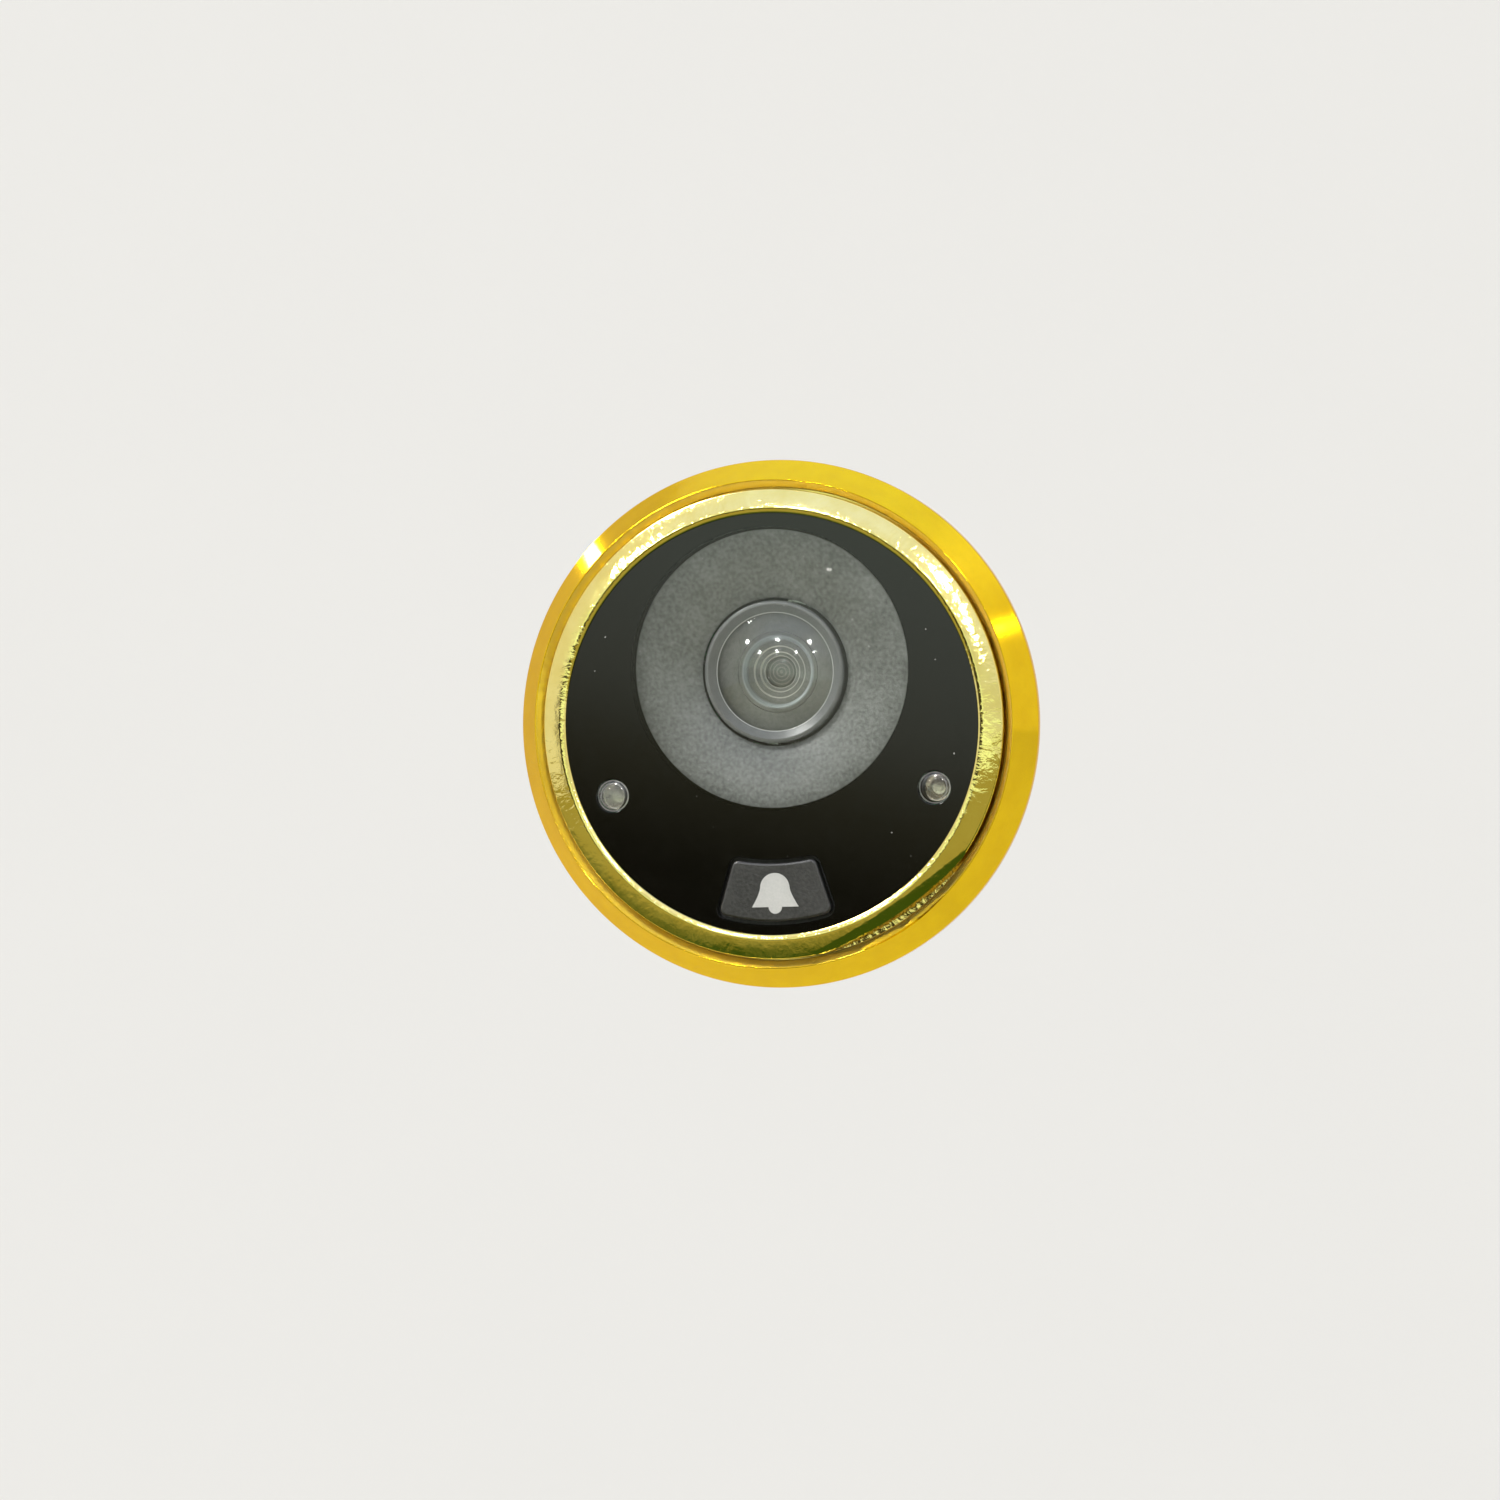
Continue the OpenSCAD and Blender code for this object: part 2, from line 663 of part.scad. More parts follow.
// Foam ring that beds the camera on the door
module door_gasket() {
    color("#3a3a38") on_door() washer(base_r - gasket_in, neck_r + gasket_gap, 0, z_base);
}

// Ring on the door: straight side, sloped face up to a crest, inner slope and the well of the bezel
module base_ring() {
    color("#e6b32a") on_door() difference() {
        rotate_extrude()
            polygon([[flange_r, z_base], [base_r, z_base], [base_r, z_side], [slope_r, z_slope],
                [well_r, z_slope - base_inner_h], [well_r, z_seat], [flange_r, z_seat]]);
        rotate([0, 0, notch_angle])
            translate([slope_r + scoop_reach - scoop_r, 0, z_slope - scoop_depth])
                cylinder(r1 = scoop_r - scoop_depth, r2 = scoop_r + cut, h = scoop_depth + cut);
    }
}

// Bezel with its rounded lip, sloping face, snaps and pry notch
module bezel_ring() {
    edge = panel_r + slide_play;
    step = z_ledge + slide_play;
    rise = bezel_lip_h * 0.8;
    lip = [for (a = [90 : -15 : 0]) [lip_r - bezel_lip_w * cos(a), z_lip - rise * (1 - sin(a))]];
    color("#e3c23c") on_door() difference() {
        union() {
            turned(concat([[skirt_r, z_seat], [bezel_r, z_seat]],
                arc(edge_mid_r, z_edge, bezel_edge_r, 0, 90 - bezel_slope, 6), lip,
                [[view_r, z_face], [edge, z_face], [edge, step], [skirt_r, step]]));
            for (i = [0 : snap_count - 1])
                rotate([0, 0, 360 * (i + 0.5) / snap_count]) rotate_extrude(angle = snap_arc)
                    translate([snap_r, z_snap]) square([bezel_r - bezel_skirt_t / 2 - snap_r, snap_h]);
        }
        rotate([0, 0, notch_angle]) pry_notch();
    }
}

// What the notch takes off the bezel: all that lies outside an upright wall and a cone above it
module pry_notch() {
    z_slope_start = z_edge - bezel_edge_r / 3;
    low = z_slope_start - notch_h;
    rise = z_lip - z_slope_start + cut;
    translate([bezel_r - notch_depth - notch_r, 0, 0]) difference() {
        disc(notch_r + bezel_r, low, z_lip + cut);
        disc(notch_r, low - cut, z_slope_start);
        translate([0, 0, z_slope_start]) cylinder(r1 = notch_r, r2 = notch_r - rise, h = rise);
    }
}

module face_panel() {
    color("#dfe6e4") on_door() difference() {
        disc(panel_r, z_panel, z_face);
        lamp_holes(z_panel - cut, z_face + cut);
        button_hole(z_panel - cut, z_face + cut);
    }
}

// Black film behind the panel, open at the window
module panel_mask() {
    color("#101010") on_door() difference() {
        disc(panel_r, z_film, z_panel);
        translate([0, window_up, 0]) disc(window_r, z_film - cut, z_panel + cut);
        lamp_holes(z_film - cut, z_panel + cut);
        button_hole(z_film - cut, z_panel + cut);
    }
}

module panel_tape() {
    color("#2b2b2b") on_door() washer(panel_r, rim_in_r, z_ledge, z_film);
}

// Flared surround of the lens: flat at its rim and steeper towards the lens
module lens_shroud() {
    flare_r = shroud_r - shroud_flat_w;
    run = flare_r - lens_r - shroud_gap;
    curve = (pow(run, 2) + pow(shroud_depth, 2)) / (2 * shroud_depth);
    turn = asin(run / curve);
    foot_at = places(shroud_r - shroud_foot_in, [90, 230, 310]);
    color("#4a4c4d") on_lens() {
        turned(concat([[shroud_r, z_film - shroud_t], [shroud_r, z_film]],
            arc(flare_r, z_film - curve, curve, 90, 90 + turn, 16),
            arc(flare_r, z_film - curve, curve - shroud_t, 90 + turn, 90, 16)));
        at(foot_at) disc(shroud_foot_d / 2, z_board, z_film - shroud_t);
    }
}

// What the button's bevel takes off: a cone about the panel, one about the window and two slanted sides
module button_bevels() {
    grow = button_bevel + cut;
    h = grow + cut;
    side = 2 * button_low_r;
    translate([0, 0, z_button - button_bevel]) {
        translate([0, 0, -cut]) {
            difference() {
                cylinder(r = side, h = h);
                cylinder(r1 = button_low_r + cut, r2 = button_low_r - grow, h = h);
            }
            translate([0, window_up, 0])
                cylinder(r1 = button_high_r - cut, r2 = button_high_r + grow, h = h);
        }
        for (s = [-1, 1])
            rotate([0, 0, s * button_half_angle]) rotate([0, s * 45, 0]) translate([-2 * grow, -side, 0])
                cube([4 * grow, side, 2 * grow]);
    }
}

// Button cap with a bevelled edge, a rim behind the panel and a pocket over the switch
module bell_button() {
    color("#3b3b3d") on_door() {
        difference() {
            translate([0, 0, z_rim]) linear_extrude(z_button - z_rim) button_outline();
            button_bevels();
            button_pocket();
        }
        difference() {
            translate([0, 0, z_rim]) linear_extrude(button_rim_t)
                offset(r = button_rim, $fn = 32) button_outline();
            button_pocket();
        }
    }
}

module button_pocket() {
    translate([0, -switch_down, 0]) block(pocket_w, pocket_w, z_rim - cut, z_pocket);
}

// Printed bell: a round crown, a flared mouth and a clapper
module bell_symbol() {
    crown_r = bell_crown_w / 2;
    waist = bell_h - crown_r;
    flare = (bell_mouth_w - bell_crown_w) / 2;
    side = [for (t = [0 : 0.1 : 1]) [crown_r + flare * pow(1 - t, bell_spread), waist * t]];
    other_side = [for (t = [1 : -0.1 : 0]) [-crown_r - flare * pow(1 - t, bell_spread), waist * t]];
    mouth_y = bell_mouth_in - button_low_r;
    color("#d8d8d6") on_door() translate([0, mouth_y, z_button]) linear_extrude(bell_print_t) {
        polygon(concat(side, arc(0, waist, crown_r, 0, 180, 24), other_side));
        circle(r = bell_clapper_d / 2);
    }
}

// Frame on the board in which the button's rim slides
module button_guide() {
    inner = button_rim + slide_play;
    color("#222224") on_door() translate([0, 0, z_board]) linear_extrude(z_rim_top - z_board)
        intersection() {
            difference() {
                offset(r = inner + guide_wall, $fn = 32) button_outline();
                offset(r = inner, $fn = 32) button_outline();
            }
            circle(r = button_low_r);
        }
}

module switch_base() {
    color("#1c1c1c") on_door() translate([0, -switch_down, 0]) difference() {
        block(switch_w, switch_w, z_board, z_switch);
        disc(switch_hollow_d / 2, z_dome, z_switch + cut);
    }
}

// Snap dome: a shallow spherical cap of spring steel
module switch_dome() {
    r = switch_hollow_d / 2 - dome_gap;
    curve = (pow(r, 2) + pow(dome_rise, 2)) / (2 * dome_rise);
    half = asin(r / curve);
    color("#c9c9c9") on_door() translate([0, -switch_down, 0])
        turned(concat(arc(0, z_dome_tip - curve, curve, 90 - half, 90, 8),
            arc(0, z_dome_tip - curve, curve - dome_t, 90, 90 - half, 8)));
}

// Steel plate over the switch, folded down on two sides
module switch_cover() {
    color("#b9bcc0") on_door() translate([0, -switch_down, 0]) {
        difference() {
            block(switch_w + 2 * switch_plate_t, switch_w, z_switch, z_plate);
            disc(switch_stem_d / 2 + slide_play, z_switch - cut, z_plate + cut);
        }
        for (s = [-1, 1])
            translate([s * (switch_w + switch_plate_t) / 2, 0, 0])
                block(switch_plate_t, plate_leg_w, z_switch - plate_leg_l, z_switch);
    }
}

module switch_plunger() {
    color("#e0ded6") on_door() translate([0, -switch_down, 0]) {
        disc(switch_stem_d / 2, z_stem_foot, z_stem);
        disc(switch_stem_d / 2 + stem_flange_w, z_stem_foot, z_stem_flange);
    }
}

module main_board() {
    color("#1e5b36") on_door() difference() {
        disc(board_r, z_floor, z_board);
        translate([0, lens_up, 0]) disc(board_hole_r, z_floor - cut, z_board + cut);
        at(board_screw_at) disc(small_screw_d / 2 + seat_play, z_floor - cut, z_board + cut);
        at(board_pin_at) disc(board_pin_d / 2 + thread_play, z_floor - cut, z_board + cut);
    }
}

// Drivers, resistors, capacitors and regulators of the front board, the same on both sides
module main_board_chips() {
    driver = [1.6, 2.9, 1.0];
    resistor = [1.6, 0.8, 0.5];
    capacitor = [1.8, 1.0, 0.8];
    regulator = [2.5, 3.2, 1.1];
    color("#202020") on_door() for (s = [0, 1]) mirror([s, 0, 0]) {
        board_chip(driver, 14);
        for (a = [24 : 6 : 42]) board_chip(resistor, a);
        for (a = [-35 : -7 : -49]) board_chip(capacitor, a);
        board_chip(regulator, -57);
    }
}

// One chip of the front board, in the middle of the ring and turned to the angle a
module board_chip(size, a) {
    inset = 2.8;
    rotate([0, 0, a]) translate([board_r - inset, 0, 0]) block(size.x, size.y, z_board, z_board + size.z);
}

module main_board_screws() {
    color("#9a9da0") on_door() at(board_screw_at) translate([0, 0, z_board])
        screw(small_screw_d, small_head_d, small_head_h, board_screw_l);
}

// Clear dome on a square foot, hollow below for the metal cup
module lamp_dome(place) {
    dome_r = lamp_d / 2;
    curve = (pow(dome_r, 2) + pow(lamp_crown, 2)) / (2 * lamp_crown);
    on_door() translate(place) difference() {
        union() {
            block(lamp_foot, lamp_foot, z_board, z_board + lamp_foot_h);
            intersection() {
                translate([0, 0, z_face - lamp_setback - curve]) sphere(r = curve);
                disc(dome_r, z_board, z_face);
            }
        }
        disc(lamp_cup_d / 2 + thread_play, z_board - cut, z_board + lamp_foot_h);
        block(lamp_foot + 2 * cut, lamp_leg_w + 2 * thread_play, z_board - cut,
            z_board + lamp_leg_t + thread_play);
    }
}

// Metal cup with a conical mirror, the chip on its floor and two flat terminals
module lamp_cup(place) {
    z_mouth = z_board + lamp_foot_h - thread_play;
    z_mirror = z_mouth - lamp_mirror_d;
    low_r = lamp_mirror_low_d / 2;
    high_r = lamp_mirror_high_d / 2;
    flare = (high_r - low_r) / lamp_mirror_d;
    on_door() translate(place) {
        difference() {
            disc(lamp_cup_d / 2, z_board, z_mouth);
            translate([0, 0, z_mirror])
                cylinder(r1 = low_r, r2 = high_r + flare * cut, h = lamp_mirror_d + cut);
        }
        block(lamp_chip_w, lamp_chip_w, z_board + lamp_leg_t, z_mirror + lamp_chip_h);
        block(lamp_foot + 2 * lamp_leg_out, lamp_leg_w, z_board, z_board + lamp_leg_t);
    }
}

module ir_led_dome() {
    color("#e8ecec") lamp_dome(lamp_at[0]);
}

module ir_led_cup() {
    color("#b8b4a8") lamp_cup(lamp_at[0]);
}

module light_sensor_dome() {
    color("#c9cccb") lamp_dome(lamp_at[1]);
}

module light_sensor_cup() {
    color("#8f918f") lamp_cup(lamp_at[1]);
}

// Plastic bars that carry the pins between the boards, one against each board
module link_header() {
    bar_l = link_pitch * link_count;
    hole_w = pin_w + 2 * thread_play;
    color("#161616") on_door() translate([0, link_up, 0]) difference() {
        union() {
            block(bar_l, link_bar_w, z_floor - link_bar_h, z_floor);
            block(bar_l, link_bar_w, z_sensor_board, z_sensor_board + link_bar_h);
        }
        in_row(link_count, link_pitch) block(hole_w, hole_w, z_sensor_board - cut, z_floor + cut);
    }
}

module link_pins() {
    color("#c8a84a") on_door() translate([0, link_up, 0])
        in_row(link_count, link_pitch) block(pin_w, pin_w, z_sensor_board, z_floor);
}

// Ring screwed over the barrel's head; its face slopes inwards to the glass
module lens_ring() {
    skirt = head_r + thread_play;
    edge = glass_edge_r + thread_play;
    corner = lens_r - lens_ring_round;
    color("#3f4143") on_lens() turned(concat(
        [[skirt, z_head], [lens_r, z_head]],
        arc(corner, z_ring - lens_ring_round, lens_ring_round, 0, 90, 6),
        [[corner - lens_ring_crest, z_ring], [glass_r + thread_play, z_glass],
        [edge, z_glass - glass_shoulder_h], [edge, z_lens_lip], [skirt, z_lens_lip]]));
}

// Strong wide-angle meniscus: bulging front, deep hollow behind
module front_glass() {
    front = asin(glass_r / lens_front_curve);
    hollow = asin(hollow_r / lens_hollow_curve);
    z_shoulder = z_glass - glass_edge_h;
    color("#cfdedd") on_lens() turned(concat(
        arc(0, z_glass_tip - lens_front_curve, lens_front_curve, 90, 90 - front, 14),
        [[glass_r, z_shoulder], [glass_edge_r, z_shoulder - glass_shoulder_h], [glass_edge_r, z_glass_seat]],
        arc(0, z_hollow_mid, lens_hollow_curve, 90 - hollow, 90, 12)));
}

module lens_barrel() {
    color("#242526") on_lens() difference() {
        union() {
            disc(head_r, z_head, z_lens_lip - thread_play);
            disc(barrel_r, z_barrel_end, z_head);
        }
        disc(glass_edge_r + thread_play, z_glass_seat, z_glass);
        disc(bore_r + thread_play, z_barrel_end - cut, z_glass_seat + cut);
    }
}

// Tube between the front glass and the second glass, narrowed by three steps that stop stray light
module lens_spacer() {
    inner_r = hollow_r - spacer_step;
    end_r = clear_r + slide_play;
    openings = [inner_r, baffle_wide_d / 2, baffle_mid_d / 2, baffle_small_d / 2];
    z_first = z_glass_seat - baffle_in;
    z_last = z_first - (len(openings) - 1) * baffle_h;
    steps = [for (i = [1 : len(openings) - 1]) let (z = z_first - (i - 1) * baffle_h)
        each [[openings[i - 1], z], [openings[i], z]]];
    color("#1b1c1d") on_lens() turned(concat([[bore_r, z_spacer_end], [bore_r, z_glass_seat],
        [hollow_r, z_glass_seat], [inner_r, z_glass_seat - spacer_taper_l]], steps,
        [[baffle_small_d / 2, z_last], [end_r, z_last - baffle_h / 2], [end_r, z_spacer_end]]));
}

// Inner glass between two levels, its faces bulging or hollow within the clear radius
module lens(low, high, front, back) {
    front_face = [for (t = [0 : 0.1 : 1]) [clear_r * t, high + front * (1 - t * t)]];
    back_face = [for (t = [1 : -0.1 : 0]) [clear_r * t, low - back * (1 - t * t)]];
    turned(concat(front_face, [[bore_r, high], [bore_r, low]], back_face));
}

module second_glass() {
    color("#c4d4d6") on_lens() lens(z_second_end, z_spacer_end, second_bulge, -second_bulge);
}

module aperture_stop() {
    hole_r = stop_hole_d / 2;
    color("#101010") on_lens() turned([[hole_r, z_second_end], [bore_r, z_second_end],
        [bore_r, z_stop_end], [hole_r + stop_flare, z_stop_end]]);
}

module third_glass() {
    color("#c4d4d6") on_lens() lens(z_third_end, z_stop_end, -third_hollow, 0);
}

module rear_glass() {
    color("#c4d4d6") on_lens() lens(z_rear_end, z_third_end, 0, rear_bulge);
}

module rear_retainer() {
    color("#1b1c1d") on_lens() washer(bore_r, bore_r - retainer_w, z_retainer, z_rear_end);
}

// Nut that locks the focus
module lens_lock_ring() {
    lock_r = lens_r + lock_proud;
    color("#8d9093") on_lens() difference() {
        washer(lock_r, barrel_r + thread_play, z_holder, z_lock);
        for (a = [0 : 90 : 270])
            rotate([0, 0, a]) translate([lock_r, 0, 0])
                block(2 * lock_slot_d, lock_slot_w, z_holder - cut, z_lock + cut);
    }
}

// Tube that the barrel screws into, with a foot and two screw ears on the sensor board
module lens_holder() {
    z_foot = z_sensor_board + holder_foot_h;
    z_hole = z_sensor_board + holder_screw_bite + screw_room;
    color("#1a1a1b") on_lens() difference() {
        union() {
            disc(holder_d / 2, z_sensor_board, z_holder);
            disc(foot_r, z_sensor_board, z_foot);
            at(ear_at) disc(ear_d / 2, z_sensor_board, z_foot);
            for (a = ear_angles)
                rotate([0, 0, a]) translate([ear_ring_r / 2, 0, 0])
                    block(ear_ring_r, ear_d, z_sensor_board, z_foot);
        }
        disc(barrel_r + thread_play, z_filter_shelf, z_holder + cut);
        disc(shelf_hole_d / 2, z_sensor_board - cut, z_holder);
        disc(foot_r - holder_foot_wall, z_sensor_board - cut, z_cavity);
        at(ear_at) disc(small_screw_d / 2 + thread_play, z_sensor_board - cut, z_hole);
    }
}

module holder_screws() {
    color("#9a9da0") on_lens() at(ear_at)
        screw_from_behind(small_screw_d, small_head_d, small_head_h,
            sensor_board_t + holder_screw_bite, z_sensor_back);
}

module infrared_filter() {
    color("#7fb5a8") on_lens() disc(filter_d / 2, z_filter_shelf, z_filter_shelf + filter_t);
}

module image_sensor() {
    color("#3b3f4a") on_lens() block(sensor_w, sensor_h, z_sensor_board, z_sensor);
}

module sensor_glass() {
    color("#b9cfd6") on_lens()
        block(sensor_w - 2 * sensor_glass_in, sensor_h - 2 * sensor_glass_in, z_sensor, z_sensor_glass);
}

module sensor_board() {
    low = z_sensor_back - cut;
    high = z_sensor_board + cut;
    color("#1e5b36") on_door() difference() {
        disc(neck_in_r - 2 * seat_play, z_sensor_back, z_sensor_board);
        at(post_at) disc(cover_screw_d / 2 + seat_play, low, high);
        translate([0, lens_up, 0]) at(ear_at) disc(small_screw_d / 2 + seat_play, low, high);
    }
}

// Processor, memory, regulator and capacitors on the back of the sensor board
module sensor_board_chips() {
    processor = [5, 4, 0.9];
    memory = [3.2, 2.5, 0.8];
    regulator = [2.9, 2.4, 1.0];
    capacitor = [1.0, 1.8, 0.8];
    low_row = -socket_down - socket_h / 2 - processor.y / 2 - 0.9;
    side_x = processor.x / 2 + memory.x / 2 + 2.9;
    high_row = 8.6;
    color("#202020") on_door() {
        back_chip(processor, 0, low_row);
        back_chip(memory, -side_x, low_row - 1);
        back_chip(regulator, side_x, low_row - 1);
        in_row(5, 3) back_chip(capacitor, 0, high_row);
    }
}

// One chip on the back of the sensor board
module back_chip(size, x, y) {
    translate([x, y, 0]) block(size.x, size.y, z_sensor_back - size.z, z_sensor_back);
}

// Black moulding: shallow dish behind the panel and a neck that goes into the door
module housing() {
    z_boss = z_sensor_board + post_boss_l;
    z_post_hole = z_sensor_board + cover_screw_bite + screw_room;
    z_board_hole = z_board - board_screw_l - screw_room;
    color("#19191a") on_door() difference() {
        union() {
            turned([[neck_in_r, z_neck_end], [neck_r, z_neck_end], [neck_r, z_base], [floor_r, z_base],
                [floor_r, z_seat], [rim_r, z_seat], [rim_r, z_ledge], [rim_in_r, z_ledge],
                [rim_in_r, z_floor], [neck_in_r, z_floor]]);
            for (p = post_at) {
                translate(p) disc(post_r, z_sensor_board, z_boss);
                rotate([0, 0, atan2(p.y, p.x)]) translate([neck_in_r - post_r / 2, 0, 0])
                    block(post_r + neck_wall, post_r, z_sensor_board, z_boss);
            }
            at(board_screw_at) disc(board_boss_d / 2, z_floor - board_boss_l, z_floor);
            at(board_pin_at) disc(board_pin_d / 2, z_base, z_board);
        }
        washer(rim_r + cut, rim_r - snap_groove, z_snap - seat_play, z_snap + snap_h + seat_play);
        at(post_at) disc(cover_screw_d / 2 + thread_play, z_sensor_board - cut, z_post_hole);
        at(board_screw_at) disc(small_screw_d / 2 + thread_play, z_board_hole, z_floor + cut);
    }
}

// Cover of the neck, with posts that clamp the sensor board and bosses for the brass inserts
module rear_cover() {
    color("#1d1d1e") on_door() difference() {
        union() {
            disc(neck_r - cover_inset, z_back, z_neck_end);
            washer(spigot_r, spigot_r - spigot_t, z_neck_end - cut, z_neck_end + spigot_l);
            at(post_at) disc(post_r, z_neck_end - cut, z_sensor_back);
            insert_places() disc(insert_d / 2 + insert_wall, z_neck_end - cut, z_insert_end + insert_end_t);
        }
        washer(neck_r, spigot_r - seal_groove, z_seal, z_seal + seal_w);
        at(post_at) {
            disc(cover_screw_d / 2 + seat_play, z_back - cut, z_sensor_back + cut);
            disc(cover_head_d / 2 + seat_play, z_back - cut, z_cover_head);
        }
        insert_places() disc(insert_d / 2, z_back - cut, z_insert_end);
        translate([0, -socket_down, 0])
            block(socket_w + 2 * seat_play, socket_h + 2 * seat_play, z_back - cut, z_neck_end + cut);
    }
}

module insert_places() {
    for (s = [-1, 1])
        translate([s * (neck_r - insert_in), 0, 0]) children();
}

module cover_seal() {
    color("#2f2f2f") on_door()
        washer(neck_in_r - thread_play, spigot_r - seal_groove, z_seal, z_seal + seal_w);
}

module cover_screws() {
    length = z_sensor_board + cover_screw_bite - z_cover_head;
    color("#9a9da0") on_door() at(post_at)
        screw_from_behind(cover_screw_d, cover_head_d, cover_head_h, length, z_cover_head);
}

// Threaded brass sleeves with a grip groove
module brass_inserts() {
    r = insert_d / 2;
    bore = insert_bore_d / 2;
    mid = z_back + insert_l / 2;
    half = insert_groove_w / 2;
    core = r - insert_groove_d;
    color("#c99a3a") on_door() insert_places() turned([[bore, z_back], [r, z_back], [r, mid - half],
        [core, mid - half], [core, mid + half], [r, mid + half], [r, z_insert_end], [bore, z_insert_end]]);
}

// Socket for the lead to the indoor screen, open to the rear, with two key slots
module cable_socket() {
    hole_w = pin_w + 2 * thread_play;
    color("#e7e2d2") on_door() translate([0, -socket_down, 0]) difference() {
        block(socket_w, socket_h, z_socket_mouth, z_sensor_back);
        block(socket_w - 2 * socket_wall, socket_h - 2 * socket_wall, z_socket_mouth - cut,
            z_socket_mouth + socket_depth);
        for (s = [-1, 1])
            translate([s * socket_w / 4, socket_h / 2, 0])
                block(key_w, 2 * (socket_wall + cut), z_socket_mouth - cut, z_socket_mouth + key_l);
        in_row(socket_count, socket_pitch) block(hole_w, hole_w, z_socket_mouth, z_sensor_back + cut);
    }
}

module socket_pins() {
    color("#c8a84a") on_door() translate([0, -socket_down, 0])
        in_row(socket_count, socket_pitch) block(pin_w, pin_w, z_socket_mouth + contact_in, z_sensor_back);
}

door_gasket();
base_ring();
bezel_ring();
face_panel();
panel_mask();
panel_tape();
lens_shroud();
bell_button();
bell_symbol();
button_guide();
switch_base();
switch_dome();
switch_cover();
switch_plunger();
main_board();
main_board_chips();
main_board_screws();
ir_led_dome();
ir_led_cup();
light_sensor_dome();
light_sensor_cup();
link_header();
link_pins();
lens_ring();
front_glass();
lens_barrel();
lens_spacer();
second_glass();
aperture_stop();
third_glass();
rear_glass();
rear_retainer();
lens_lock_ring();
lens_holder();
holder_screws();
infrared_filter();
image_sensor();
sensor_glass();
sensor_board();
sensor_board_chips();
housing();
rear_cover();
cover_seal();
cover_screws();
brass_inserts();
cable_socket();
socket_pins();
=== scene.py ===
import json
import math

import bmesh
import bpy
from mathutils import Matrix, Vector

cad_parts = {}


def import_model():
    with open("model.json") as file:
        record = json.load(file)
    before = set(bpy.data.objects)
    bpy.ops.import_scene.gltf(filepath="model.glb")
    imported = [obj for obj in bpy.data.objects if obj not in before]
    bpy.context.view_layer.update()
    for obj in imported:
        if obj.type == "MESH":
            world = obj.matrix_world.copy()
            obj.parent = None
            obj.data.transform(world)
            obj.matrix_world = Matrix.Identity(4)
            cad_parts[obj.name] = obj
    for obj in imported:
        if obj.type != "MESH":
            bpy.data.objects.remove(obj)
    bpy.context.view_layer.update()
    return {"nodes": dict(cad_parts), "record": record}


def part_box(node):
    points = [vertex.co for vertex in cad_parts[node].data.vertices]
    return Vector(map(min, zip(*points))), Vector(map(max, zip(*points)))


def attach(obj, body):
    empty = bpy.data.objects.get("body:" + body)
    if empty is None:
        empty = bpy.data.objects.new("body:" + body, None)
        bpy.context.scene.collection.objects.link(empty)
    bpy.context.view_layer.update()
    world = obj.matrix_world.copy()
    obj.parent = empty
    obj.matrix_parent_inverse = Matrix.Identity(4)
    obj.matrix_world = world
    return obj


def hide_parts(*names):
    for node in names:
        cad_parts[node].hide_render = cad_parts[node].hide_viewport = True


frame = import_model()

# Sizes are in millimetres: x to the visitor's right, y up, z from the door towards the visitor.
MM = 0.001
TURN_STEPS = 360
CUT_OVER = 1.0
# Edges that bend by more degrees stay sharp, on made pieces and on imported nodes.
PIECE_SHARP_ANGLE = 28
NODE_SHARP_ANGLE = 26


def front(node):
    """Level of the side of a node that faces the visitor."""
    return -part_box(node)[0][1] / MM


def back(node):
    """Level of the side of a node that faces the door."""
    return -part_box(node)[1][1] / MM


def radius(node):
    """Half of a node's width."""
    low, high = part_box(node)
    return (high[0] - low[0]) / 2 / MM


def middle(node):
    """Place (x, y) of a node's middle as the visitor sees it."""
    low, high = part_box(node)
    return (low[0] + high[0]) / 2 / MM, (low[2] + high[2]) / 2 / MM


# Levels and radii of the rings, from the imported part
Z_DOOR_SIDE = back("base_ring")
Z_SLOPE = front("base_ring")
Z_SEAT = back("bezel_ring")
Z_LIP = front("bezel_ring")
Z_FACE = front("face_panel")
Z_PANEL_BACK = back("face_panel")
Z_FILM = back("panel_mask")
BASE_R = radius("base_ring")
BEZEL_R = radius("bezel_ring")
PANEL_R = radius("face_panel")

# Ring on the door
BASE_SIDE_H = 1.1
FLANGE_R = 21.0
WELL_GAP = 0.15
WELL_R = BEZEL_R + WELL_GAP
INNER_W = 0.75
INNER_H = 1.1
SLOPE_R = WELL_R + INNER_W
SCOOP_R = 14.9
SCOOP_REACH = 0.35
SCOOP_DEPTH = 1.2

# Bezel
BEZEL_W = 2.4
VIEW_R = BEZEL_R - BEZEL_W
SKIRT_T = 0.95
SKIRT_R = BEZEL_R - SKIRT_T
GRIP_GAP = 0.05
GRIP_DEPTH = 0.25
LIP_W = 0.55
LIP_R = VIEW_R + LIP_W
LIP_DROP = 0.256
BEZEL_SLOPE = math.radians(21.5)
BEZEL_EDGE_R = 0.3
BEZEL_SWELL = 0.04
EDGE_MID_R = BEZEL_R - BEZEL_EDGE_R
Z_EDGE = Z_LIP - (EDGE_MID_R - LIP_R) * math.tan(BEZEL_SLOPE) - BEZEL_EDGE_R / math.cos(BEZEL_SLOPE)
NOTCH_ANGLE = -57.5
NOTCH_DEPTH = 0.64
NOTCH_R = 40.0
NOTCH_H = 1.6

